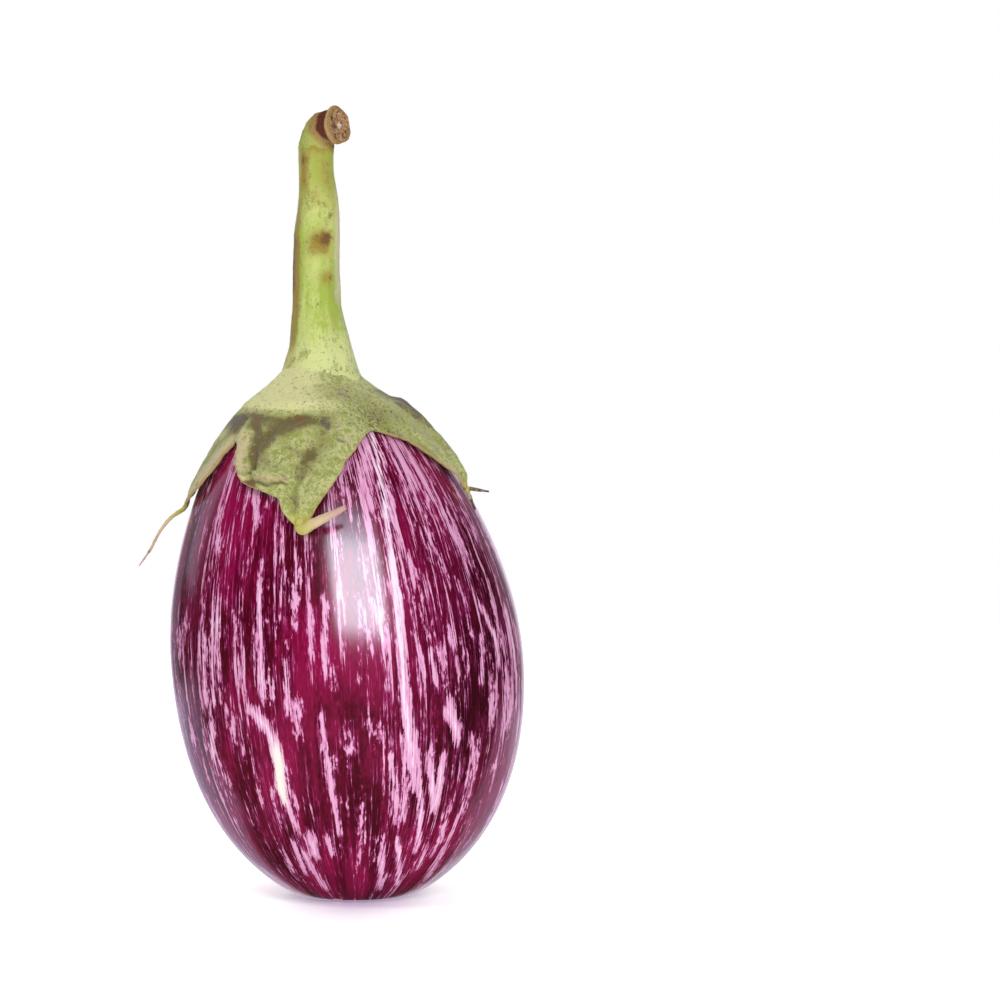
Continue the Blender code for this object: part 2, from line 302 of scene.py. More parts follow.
@dataclass(frozen=True)
class LeafFinish:
    """Felted calyx: yellow-green, with olive stains, painted shade in its creases and under the crown's step,
    pale straw with painted highlights on fold ridges, dark freckles and a dried tan rim.
    """

    green: Colour = paint("959a4a")
    light: Colour = paint("c6c986")
    deep: Colour = paint("6b7032")
    crown: Colour = paint("dcda9a")
    stain_and_shade: Colour = paint("64532a")
    russet: Colour = paint("80552f")
    grey: Colour = paint("5f5350")
    straw_and_highlight: Colour = paint("cdbd90")
    freckle: Colour = paint("55502a")
    rim: Colour = paint("b99a68")
    tip: Colour = paint("c4bf50")

    def make(self) -> bpy.types.Material:
        """Builds the calyx's material.

        Returns:
            The material.
        """
        graph = Graph("calyx_green")
        place = graph.position()
        broad = graph.grain(place, (330, 330, 330), 2.0, 0.6) - 0.5
        felt = graph.grain(place, (2400, 2400, 2400), 2.0, 0.65, 2.0) - 0.5
        specks = graph.grain(place, (1700, 1700, 1300), 2.0, 0.6, 9.0)
        mottle = graph.grain(place, (900, 900, 900), 3.0, 0.65, 4.0) - 0.5
        lightened = (broad * 2.2 + mottle * 2.4 + felt * 2.2).rise(-0.5, 0.4)
        colour = graph.mix(self.green, self.light, lightened)
        deepened = (broad * 1.8 + mottle * -2.2 + felt * 1.2).rise(0.12, 0.6)
        colour = graph.mix(colour, self.deep, deepened * 0.55)
        pale = (graph.attribute("paleness") + mottle * 1.4 + broad * 1.0 + felt * 0.8).rise(0.05, 1.05)
        colour = graph.mix(colour, self.crown, pale)
        # Olive stains, with painted shade in the creases and under the crown's step.
        stained_and_shaded = (graph.attribute("stain_and_shade") + mottle * 2.0 + broad * 1.2 + felt * 1.0).rise(0.12, 1.0)
        colour = graph.mix(colour, self.stain_and_shade, stained_and_shaded * 0.9)
        russeted = (graph.attribute("russet") + mottle * 2.4 + broad).rise(0.3, 0.95)
        colour = graph.mix(colour, self.russet, russeted * 0.8)
        # Pale straw colour, which on the fold ridges is also a painted highlight along their tops.
        straw_and_highlight = (graph.attribute("straw_and_highlight") + mottle * 1.6 + broad * 1.2).rise(0.2, 0.9)
        colour = graph.mix(colour, self.straw_and_highlight, straw_and_highlight * 0.9)
        greyed = (graph.attribute("grey") + mottle * 2.0 + felt * 1.2).rise(0.15, 0.95)
        colour = graph.mix(colour, self.grey, greyed * 0.85)
        freckled = (specks + graph.attribute("freckles") * 0.1 + broad * 0.15).rise(0.66, 0.76)
        colour = graph.mix(colour, self.freckle, freckled * 0.7)
        colour = graph.mix(colour, self.tip, graph.attribute("tip") * 0.8)
        dried = (graph.attribute("rim") + mottle * 1.4).rise(0.45, 0.95)
        colour = graph.mix(colour, self.rim, dried)
        normal = graph.bump(felt, 0.00022, 0.9)
        normal = graph.bump(mottle, 0.0008, 0.8, normal)
        return graph.finish(Base_Color=colour, Roughness=0.8 + felt * 0.3, Normal=normal,
                            Specular_IOR_Level=0.3, Sheen_Weight=0.15, Sheen_Roughness=0.5)


@dataclass(frozen=True)
class StemFinish:
    """Felted green stem with fine vertical grain, brown scuffs and dark freckles."""

    green: Colour = paint("a0b346")
    light: Colour = paint("c2ce76")
    foot: Colour = paint("d2d88e")
    ochre: Colour = paint("93751c")
    scuff: Colour = paint("6c4826")
    dab: Colour = paint("7e8c30")
    freckle: Colour = paint("5a5a34")
    bloom: Colour = paint("cfc9a4")

    def make(self) -> bpy.types.Material:
        """Builds the stalk's material.

        Returns:
            The material.
        """
        graph = Graph("stalk_green")
        place = graph.position()
        grain = graph.grain(place, (620, 620, 90), 3.0, 0.6) - 0.5
        felt = graph.grain(place, (2400, 2400, 2000), 2.0, 0.65, 2.0) - 0.5
        mottle = graph.grain(place, (420, 420, 300), 3.0, 0.65, 4.0) - 0.5
        specks = graph.grain(place, (1300, 1300, 900), 2.0, 0.6, 9.0)
        broad = graph.grain(place, (140, 140, 75), 2.0, 0.5, 6.0) - 0.5
        lightened = (grain * 1.6 + mottle * 1.6 + broad * 2.4 + felt).rise(-0.4, 0.45)
        colour = graph.mix(self.green, self.light, lightened)
        colour = graph.mix(colour, self.foot, (graph.attribute("foot") + mottle * 1.5).rise(0.1, 0.95))
        ochred = (graph.attribute("ochre") + mottle * 1.2 + grain * 0.9 + felt * 0.6).rise(0.05, 1.0)
        colour = graph.mix(colour, self.ochre, ochred * 0.9)
        dabbed = (mottle * 1.5 + broad * 1.2 + felt * 0.8).rise(0.16, 0.5)
        colour = graph.mix(colour, self.dab, dabbed * 0.5)
        scuffed = (graph.attribute("scuff") + mottle * 1.6 + felt * 1.0).rise(0.2, 1.05)
        colour = graph.mix(colour, self.scuff, scuffed * 0.9)
        freckled = (specks + graph.attribute("freckles") * 0.1 + mottle * 0.15).rise(0.66, 0.76)
        colour = graph.mix(colour, self.freckle, freckled * 0.6)
        bloomed = (graph.attribute("bloom") + mottle * 2.0 + felt).rise(0.4, 1.1)
        colour = graph.mix(colour, self.bloom, bloomed * 0.7)
        normal = graph.bump(felt, 0.0002, 0.9)
        normal = graph.bump(mottle, 0.0005, 0.6, normal)
        normal = graph.bump(grain, 0.0004, 0.6, normal)
        return graph.finish(Base_Color=colour, Roughness=0.78 + felt * 0.3, Normal=normal,
                            Specular_IOR_Level=0.3, Sheen_Weight=0.2, Sheen_Roughness=0.5)


@dataclass(frozen=True)
class CorkFinish:
    """Dry brown stem end, with a paler, fibrous cut face whose sunken cracks are darkened with painted shade.
    """

    bark: Colour = paint("9c7c46")
    olive: Colour = paint("a9b05a")
    maroon: Colour = paint("5e2c18")
    rim: Colour = paint("c49c76")
    face: Colour = paint("bb9468")
    crack_and_shade: Colour = paint("543420")
    pith: Colour = paint("e6d2b2")

    def make(self) -> bpy.types.Material:
        """Builds the dry end's material.

        Returns:
            The material.
        """
        graph = Graph("dry_brown")
        place = graph.position()
        coarse = graph.grain(place, (800, 800, 800), 3.0, 0.65) - 0.5
        fine = graph.grain(place, (2800, 2800, 2800), 2.0, 0.6, 5.0) - 0.5
        colour = graph.mix(self.bark, self.rim, (coarse * 2.0 + fine * 1.2).rise(-0.1, 0.9))
        olive = (graph.attribute("greenness") + coarse * 1.0 + fine * 0.6).rise(0.0, 1.0)
        colour = graph.mix(colour, self.olive, olive)
        dark = (graph.attribute("darkness") + coarse * 1.6 + fine * 1.2).rise(0.0, 1.0)
        colour = graph.mix(colour, self.maroon, dark)
        collar = (graph.attribute("collar") + coarse * 1.4 + fine).rise(0.35, 0.8)
        colour = graph.mix(colour, self.rim, collar)
        # Random dark tone, and painted shade in the sunken cracks of the face.
        cracked_and_shaded = (coarse * 3.0 + fine * 2.0 + graph.attribute("cleft") * 0.8).rise(0.0, 0.8)
        face = graph.mix(self.face, self.crack_and_shade, cracked_and_shaded * 0.9)
        face = graph.mix(face, self.pith, (graph.attribute("pith") + fine * 1.5).rise(0.3, 0.8))
        colour = graph.mix(colour, face, graph.attribute("face"))
        normal = graph.bump(coarse, 0.0007, 0.9)
        normal = graph.bump(fine, 0.00025, 0.9, normal)
        return graph.finish(Base_Color=colour, Roughness=0.85 + fine * 0.3, Normal=normal,
                            Specular_IOR_Level=0.3)


@dataclass(frozen=True)
class AwnFinish:
    """Dried awn: tan at its root, cream and pink along its length, dark at its tip."""

    root: Colour = paint("bdb65c")
    middle: Colour = paint("cfb58c")
    end: Colour = paint("c39a90")
    dark: Colour = paint("55423a")

    def make(self) -> bpy.types.Material:
        """Builds the awns' material.

        Returns:
            The material.
        """
        graph = Graph("awn_tan")
        along = graph.attribute("along")
        grain = graph.grain(graph.position(), (900, 900, 900), 3.0, 0.6)
        colour = graph.mix(self.root, self.middle, along.rise(0.12, 0.4))
        colour = graph.mix(colour, self.end, along.rise(0.45, 0.95))
        colour = graph.mix(colour, self.dark, (grain + graph.attribute("darkness")).rise(0.75, 1.15))
        normal = graph.bump(grain, 0.0004, 0.8)
        return graph.finish(Base_Color=colour, Roughness=0.75 + grain * 0.1, Normal=normal)


@dataclass(frozen=True)
class FloorFinish:
    """Pale, faintly glossy studio floor, lit a little from below, with a painted lavender shadow and
    reflection round the spot that is stood on.
    """

    tone: Colour = (0.93, 0.93, 0.93)
    cloud: Colour = (0.95, 0.95, 0.95)
    # The colour of the painted contact shadow and reflection.
    painted_shade: Colour = (0.38, 0.27, 0.47)
    painted_shade_start: float = 5 * MM
    painted_shade_end: float = 20 * MM
    painted_shade_depth: float = 0.42
    glow: float = 0.6

    def make(self) -> bpy.types.Material:
        """Builds the floor's material.

        Returns:
            The material.
        """
        graph = Graph("pale_floor")
        place = graph.position()
        colour = graph.mix(self.tone, self.cloud, graph.grain(place, (3, 3, 3)))
        drawn_in = graph.node("ShaderNodeVectorMath", {"operation": "MULTIPLY"},
                              {0: place, 1: (1.0, self.painted_shade_depth, 0.0)})
        far = graph.node("ShaderNodeVectorMath", {"operation": "LENGTH"}, {0: drawn_in}, output=1)
        # Painted contact shadow and reflection: the emission turns lavender and dimmer round the spot that is
        # stood on.
        glow = graph.mix(self.painted_shade, (1.0, 1.0, 1.0), far.rise(self.painted_shade_start, self.painted_shade_end))
        return graph.finish(Base_Color=colour, Roughness=0.4, Specular_IOR_Level=0.3,
                            Emission_Color=glow, Emission_Strength=self.glow)


class Piece:
    """A mesh piece of the eggplant, from its primitive to its place in the frame."""

    def __init__(self, name: str, obj: bpy.types.Object) -> None:
        """Takes the object and names it and its mesh.

        Args:
            name: The piece's name.
            obj: The object that holds its mesh.
        """
        self.obj = obj
        obj.name = name
        obj.data.name = name

    @property
    def places(self) -> np.ndarray:
        """The vertices' coordinates.

        Returns:
            One row for each vertex.
        """
        flat = np.empty(3 * len(self.obj.data.vertices), dtype=np.float32)
        self.obj.data.vertices.foreach_get("co", flat)
        return flat.reshape(-1, 3).astype(float)

    @places.setter
    def places(self, rows: np.ndarray) -> None:
        """Moves the vertices."""
        self.obj.data.vertices.foreach_set("co", np.asarray(rows, dtype=np.float32).ravel())
        self.obj.data.update()

    @property
    def normals(self) -> np.ndarray:
        """The vertices' outward directions.

        Returns:
            One row for each vertex.
        """
        flat = np.empty(3 * len(self.obj.data.vertices), dtype=np.float32)
        self.obj.data.vertex_normals.foreach_get("vector", flat)
        return flat.reshape(-1, 3).astype(float)

    def swell(self, heights: np.ndarray) -> None:
        """Moves each vertex outward by its height."""
        self.places = self.places + self.normals * heights[:, None]

    def note(self, name: str, values: np.ndarray) -> None:
        """Keeps a number, or a vector, for each vertex as an attribute of the piece.

        Args:
            name: The attribute's name.
            values: One number, or one row of three, for each vertex.
        """
        vector = values.ndim == 2
        made = self.obj.data.attributes.new(name, "FLOAT_VECTOR" if vector else "FLOAT", "POINT")
        made.data.foreach_set("vector" if vector else "value", np.asarray(values, dtype=np.float32).ravel())

    def apply(self, kind: str, **settings: object) -> None:
        """Adds a modifier and applies it.

        Args:
            kind: The modifier's type.
            settings: The modifier's own properties.
        """
        select_only(self.obj)
        modifier = self.obj.modifiers.new(kind.lower(), kind)
        for name, setting in settings.items():
            setattr(modifier, name, setting)
        bpy.ops.object.modifier_apply(modifier=modifier.name)

    def dress(self, material: bpy.types.Material, slot: str, *nodes: str) -> None:
        """Shades the piece, gives it its finish and fixes it to the eggplant's body.

        Args:
            material: The finish.
            slot: The record's slot name; not used.
            nodes: The solids that the piece stands for.
        """
        self.obj.data.shade_smooth()
        self.obj.data.materials.clear()
        self.obj.data.materials.append(material)
        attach(self.obj, BODY)
        if nodes:
            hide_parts(*nodes)
        log.info("%s: %d faces", self.obj.name, len(self.obj.data.polygons))


def select_only(obj: bpy.types.Object | None = None) -> None:
    """Deselects everything, then selects and activates the object if there is one.

    Args:
        obj: The object to select.
    """
    if bpy.context.object and bpy.context.object.mode != "OBJECT":
        bpy.ops.object.mode_set(mode="OBJECT")
    bpy.ops.object.select_all(action="DESELECT")
    if obj:
        obj.select_set(True)
        bpy.context.view_layer.objects.active = obj


def unit_sphere(name: str, segments: int, rings: int) -> Piece:
    """A unit sphere primitive, which a piece is shaped from.

    Args:
        name: The piece's name.
        segments: The number of faces round it.
        rings: The number of faces from pole to pole.

    Returns:
        The piece.
    """
    select_only()
    bpy.ops.mesh.primitive_uv_sphere_add(segments=segments, ring_count=rings, radius=1.0)
    return Piece(name, bpy.context.object)


def sphere_angles(piece: Piece) -> tuple[np.ndarray, np.ndarray]:
    """The azimuth and polar angle of each vertex of a unit sphere, in radians."""
    places = piece.places
    return np.arctan2(places[:, 0], -places[:, 1]), np.arccos(np.clip(places[:, 2], -1, 1))


def join(name: str, pieces: list[Piece]) -> Piece:
    """Joins pieces into the first of them.

    Args:
        name: The joined piece's name.
        pieces: The pieces.

    Returns:
        The joined piece.
    """
    select_only(pieces[0].obj)
    for piece in pieces[1:]:
        piece.obj.select_set(True)
    bpy.ops.object.join()
    return Piece(name, bpy.context.object)


@dataclass(frozen=True)
class Spot:
    """A soft oval: its azimuth in degrees, its place along the piece, its half sizes and its strength."""

    azimuth: float
    along: float
    wide: float
    high: float
    strength: float = 1.0


def spot_field(azimuth: np.ndarray, along: np.ndarray, spots: tuple[Spot, ...]) -> np.ndarray:
    """The sum of soft spots at each point.

    Args:
        azimuth: Each point's azimuth in degrees.
        along: Each point's polar angle in degrees or height in millimetres, as the spots have it.
        spots: The spots.

    Returns:
        One value for each point.
    """
    total = np.zeros_like(azimuth)
    for spot in spots:
        turn = (azimuth - spot.azimuth + 180) % 360 - 180
        total += spot.strength * np.exp(-((turn / spot.wide) ** 2) - ((along - spot.along) / spot.high) ** 2)
    return total


@dataclass
class Fruit:
    """The egg-shaped fruit: two half ellipsoids that meet at the girth, drawn aside by a slight bend.

    A drawn streak has rows of azimuth in degrees, height and width in millimetres.
    """

    girth_radius: float = 38.6 * MM
    girth_height: float = 51.7 * MM
    lower_half: float = 54.8 * MM
    upper_half: float = 60.8 * MM
    shoulder_pinch: float = 0.27
    belly_swell: float = 0.09
    side_bend: float = 0.62
    back_bend: float = 0.15
    ridge_count: int = 5
    ridge_depth: float = 0.006
    foot_softness: float = 0.5 * MM
    segments: int = 384
    rings: int = 240
    streaks: tuple[StreakLine, ...] = (
        ((31, 102.5, 1.1), (24.5, 92, 1.2), (22, 79.7, 1.6), (21, 71.4, 2.3), (19.8, 58.9, 2.7),
         (20, 46.2, 2.6), (21.8, 35.4, 2.1), (24.2, 26.7, 1.3)),
        ((12, 67, 1.1), (15, 57, 1.3)), ((8, 67, 0.9), (10, 57, 1.1)),
        ((-26, 75, 0.9), (-26.3, 63, 1.2), (-26, 58, 1.6), (-26, 47, 1.4)),
        ((-49.5, 58, 1.1), (-51, 45, 1.3)), ((-46, 62, 1.0), (-47, 45, 1.1)),
        ((-42.8, 62, 1.0), (-43.5, 45.5, 1.1)), ((-49.8, 39.2, 1.7), (-52.5, 33, 1.8)),
        ((-39.2, 41.2, 1.4), (-39.8, 37.5, 1.5)), ((-22.6, 24, 1.5), (-21, 18, 1.2)),
        ((-17.5, 54, 1.1), (-17.8, 44.5, 1.3)), ((-8.5, 65, 1.1), (-8.8, 57, 1.2)),
        ((-3.7, 67.5, 1.2), (-4.8, 52.2, 1.3)), ((-7, 42.3, 1.2), (-5.8, 29, 1.5)),
        ((25, 60, 1.1), (27, 52, 1.3)), ((30, 56, 1.1), (31, 50, 1.1)), ((38, 60, 1.3), (40, 51, 1.1)),
        ((51, 58, 1.3), (50, 50, 1.3)), ((54, 65, 1.3), (59, 58, 1.5), (59, 53, 1.3)),
        ((63, 51, 1.3), (65, 38, 1.1)), ((70, 63, 2.0), (71, 52, 1.8), (72, 43, 1.3)),
        ((36, 43, 2.9), (39, 39, 2.6)), ((34, 33, 1.8), (33, 24, 2.2)), ((28, 34, 1.3), (33, 23, 2.0)),
        ((19, 38, 1.1), (21, 21, 1.3)), ((23, 38, 1.5), (30, 13, 1.3)), ((15, 34, 1.3), (18, 20, 1.3)),
        ((-6, 31, 1.3), (-4, 18, 1.3)), ((-16, 15, 2.6), (-16, 13, 2.6)), ((-9, 16, 1.3), (-8, 13, 1.3)),
        ((-25, 14, 1.3), (-25, 8, 1.3)), ((-21, 12, 1.3), (-18, 4, 1.3)), ((20, 15, 1.1), (28, 5, 1.1)),
        ((35, 13, 1.3), (36, 9, 1.3)), ((14, 11, 1.3), (18, 4, 1.1)),
    )
    cream_streak: StreakLine = (
        (-31.5, 44, 1.6), (-28.5, 42.3, 2.2), (-25.4, 39.5, 1.8), (-23.6, 36.6, 2.7), (-23.2, 32.1, 3.0),
        (-23.8, 27.5, 2.9), (-23.6, 25, 2.0),
    )
    # Painted shade: soft spots that darken the skin towards its sides.
    painted_shades: tuple[Spot, ...] = (
        Spot(50, 85, 26, 30, 0.75), Spot(120, 100, 40, 50, 0.5), Spot(-75, 95, 16, 40, 0.4),
    )
    crowds: tuple[Spot, ...] = (
        Spot(0, 0, 400, 42, 0.2), Spot(30, 45, 34, 18, 0.08), Spot(-42, 74, 20, 20, 0.07),
        Spot(20, 62, 12, 18, 0.1),
        Spot(-4, 110, 14, 30, -0.14), Spot(42, 98, 10, 22, -0.08), Spot(62, 75, 12, 26, 0.03),
        Spot(24, 140, 18, 20, 0.04), Spot(140, 75, 50, 36, 0.06), Spot(-120, 90, 40, 40, 0.05),
        Spot(-20, 82, 8, 16, -0.05), Spot(26, 95, 13, 10, -0.07), Spot(-30, 113, 12, 14, -0.06),
        Spot(-44, 142, 24, 16, -0.06), Spot(-3, 146, 16, 16, -0.05), Spot(28, 74, 9, 8, 0.04),
        Spot(26, 114, 10, 10, -0.04),
    )
    bareness: float = 0.115

    def point(self, azimuth: np.ndarray, polar: np.ndarray) -> np.ndarray:
        """The skin's points.

        Args:
            azimuth: The azimuths in radians.
            polar: The polar angles in radians.

        Returns:
            One row for each pair of angles.
        """
        rise = np.cos(polar)
        half = np.where(rise > 0, self.upper_half, self.lower_half)
        height = self.girth_height + half * rise
        fullness = np.where(rise > 0, 1 - self.shoulder_pinch * rise**2 * (1 - rise),
                            1 + self.belly_swell * rise**2 * (1 - rise**2))
        ridge = 1 + self.ridge_depth * np.sin(polar) ** 2 * np.cos(self.ridge_count * azimuth)
        radius = self.girth_radius * np.sin(polar) * fullness * ridge
        return np.stack([radius * np.sin(azimuth) - self.side_bend * height**2,
                         -radius * np.cos(azimuth) + self.back_bend * height**2, height], axis=-1)

    def normal(self, azimuth: np.ndarray, polar: np.ndarray) -> np.ndarray:
        """The skin's outward directions.

        Args:
            azimuth: The azimuths in radians.
            polar: The polar angles in radians.

        Returns:
            One row for each pair of angles.
        """
        step = 0.002
        polar = np.maximum(polar, 2 * step)
        down = self.point(azimuth, polar + step) - self.point(azimuth, polar - step)
        aside = self.point(azimuth + step, polar) - self.point(azimuth - step, polar)
        across = np.cross(down, aside)
        return across / np.linalg.norm(across, axis=-1, keepdims=True)

    def angles(self, places: np.ndarray) -> tuple[np.ndarray, np.ndarray]:
        """The angles of places on or near the upper skin.

        Args:
            places: One row of coordinates for each place.

        Returns:
            Each place's azimuth and polar angle in radians.
        """
        polar = np.arccos(np.clip((places[:, 2] - self.girth_height) / self.upper_half, -1, 1))
        side = places[:, 0] + self.side_bend * places[:, 2] ** 2
        front = places[:, 1] - self.back_bend * places[:, 2] ** 2
        return np.arctan2(side, -front), polar

    def arc(self, polar: np.ndarray) -> np.ndarray:
        """The length along the skin from the stalk end.

        Args:
            polar: The polar angles in radians.

        Returns:
            One length for each angle.
        """
        steps = np.linspace(0, math.pi, 721)
        lengths = np.linalg.norm(np.diff(self.point(np.zeros_like(steps), steps), axis=0), axis=1)
        return np.interp(polar, steps, np.concatenate([[0.0], np.cumsum(lengths)]))

    def polar_at(self, height: float) -> float:
        """The polar angle in radians of a height on the fruit."""
        rise = height - self.girth_height
        return math.acos(max(-1.0, min(1.0, rise / (self.upper_half if rise > 0 else self.lower_half))))

    def streak_depth(self, streak: StreakLine, azimuth: np.ndarray, arc: np.ndarray,
                     girth: np.ndarray) -> np.ndarray:
        """How deep each point lies inside a streak.

        Args:
            streak: The streak.
            azimuth: Each point's azimuth in radians.
            arc: Each point's length along the skin.
            girth: The fruit's radius at each point.

        Returns:
            Millimetres from the streak's edge, positive inside.
        """
        rows = [(math.radians(turn), float(self.arc(self.polar_at(height * MM))), width / 2)
                for turn, height, width in streak]
        depth = np.full_like(azimuth, -9.0)
        for (turn_a, arc_a, half_a), (turn_b, arc_b, half_b) in zip(rows, rows[1:]):
            aside = ((azimuth - turn_a + math.pi) % (2 * math.pi) - math.pi) * girth / MM
            along = (arc - arc_a) / MM
            run_x = (turn_b - turn_a) * girth / MM
            run_y = np.full_like(azimuth, (arc_b - arc_a) / MM)
            share = np.clip((aside * run_x + along * run_y) / (run_x**2 + run_y**2), 0, 1)
            off = np.hypot(aside - share * run_x, (along - share * run_y) * 0.4)
            depth = np.maximum(depth, half_a + (half_b - half_a) * share - off)
        return depth

    def build(self, skin: bpy.types.Material) -> Piece:
        """Shapes the fruit from a sphere, notes where its streaks lie and dresses it.

        Args:
            skin: The finish.

        Returns:
            The fruit.
        """
        piece = unit_sphere("fruit_skin", self.segments, self.rings)
        azimuth, polar = sphere_angles(piece)
        places = self.point(azimuth, polar)
        arc = self.arc(polar)
        girth = self.girth_radius * np.sin(polar) + 1e-6
        drawn = np.full_like(azimuth, -9.0)
        for streak in self.streaks:
            drawn = np.maximum(drawn, self.streak_depth(streak, azimuth, arc, girth))
        cream = self.streak_depth(self.cream_streak, azimuth, arc, girth)
        height = places[:, 2]
        places[:, 2] = (height + np.sqrt(height**2 + self.foot_softness**2)) / 2
        places[:, 2] -= places[:, 2].min()
        piece.places = places
        skin_place = np.stack([np.sin(azimuth), np.cos(azimuth), arc / self.girth_radius], axis=-1)
        piece.note("skin_place", skin_place)
        piece.note("streak", np.clip(np.maximum(drawn, cream), -4, 2))
        piece.note("cream", np.clip(cream + 0.1, 0, 1) * (1 - smooth_step(34.5 * MM, 38.5 * MM, height)))
        turn, fall = np.degrees(azimuth), np.degrees(polar)
        piece.note("crowding", spot_field(turn, fall, self.crowds) - self.bareness)
        # Where painted shade darkens the skin.
        piece.note("painted_shade", np.clip(spot_field(turn, fall, self.painted_shades), 0, 1))
        piece.dress(skin, "fruit_skin", "fruit")
        return piece


class Edge(Enum):
    """The outlines of a lobe's side: rows of the share of its length and the share of its width there."""

    PLAIN = ((0.0, 1.0), (0.12, 0.8), (0.24, 0.66), (0.4, 0.5), (0.58, 0.36), (0.75, 0.22), (1.0, 0.03))
    BROAD = ((0.0, 1.0), (0.2, 0.95), (0.42, 0.84), (0.7, 0.66), (0.88, 0.45), (1.0, 0.05))
    SLENDER = ((0.0, 1.0), (0.09, 0.8), (0.24, 0.54), (0.52, 0.34), (0.83, 0.1), (1.0, 0.03))
    FULL = ((0.0, 1.0), (0.15, 0.88), (0.45, 0.64), (0.75, 0.34), (1.0, 0.03))
    SHOULDERED = ((0.0, 1.0), (0.06, 0.92), (0.15, 0.85), (0.4, 0.72), (0.54, 0.61), (0.6, 0.47),
                  (0.64, 0.36), (0.71, 0.2), (0.85, 0.155), (0.93, 0.09), (1.0, 0.03))


@dataclass(frozen=True)
class Stroke:
    """A soft line on the cap: its points' azimuths and polar angles, its half width and its strength.

    The angles and the half width are in degrees.
    """

    line: tuple[tuple[float, float], ...]
    width: float
    strength: float


def stroke_field(azimuth: np.ndarray, polar: np.ndarray, strokes: tuple[Stroke, ...]) -> np.ndarray:
    """The sum of soft lines at each point.

    Args:
        azimuth: Each point's azimuth in radians.
        polar: Each point's polar angle in radians.
        strokes: The lines.

    Returns:
        One value for each point.
    """
    turn, fall = np.degrees(azimuth), np.degrees(polar)
    squeeze = np.sin(np.maximum(polar, 0.05))
    total = np.zeros_like(azimuth)
    for stroke in strokes:
        nearest = np.full_like(azimuth, 99.0)
        for (turn_a, fall_a), (turn_b, fall_b) in zip(stroke.line, stroke.line[1:]):
            aside = ((turn - turn_a + 180) % 360 - 180) * squeeze
            along = fall - fall_a
            run_x, run_y = (turn_b - turn_a) * squeeze, fall_b - fall_a
            share = np.clip((aside * run_x + along * run_y) / (run_x**2 + run_y**2), 0, 1)
            nearest = np.minimum(nearest, np.hypot(aside - share * run_x, along - share * run_y))
        total += stroke.strength * np.exp(-((nearest / stroke.width) ** 2))
    return total


@dataclass(frozen=True)
class Lobe:
    """A calyx lobe: where its tip points in degrees, how far the tip lifts, and its two outlines."""

    azimuth: float
    polar: float
    lift: float
    left: Edge
    right: Edge


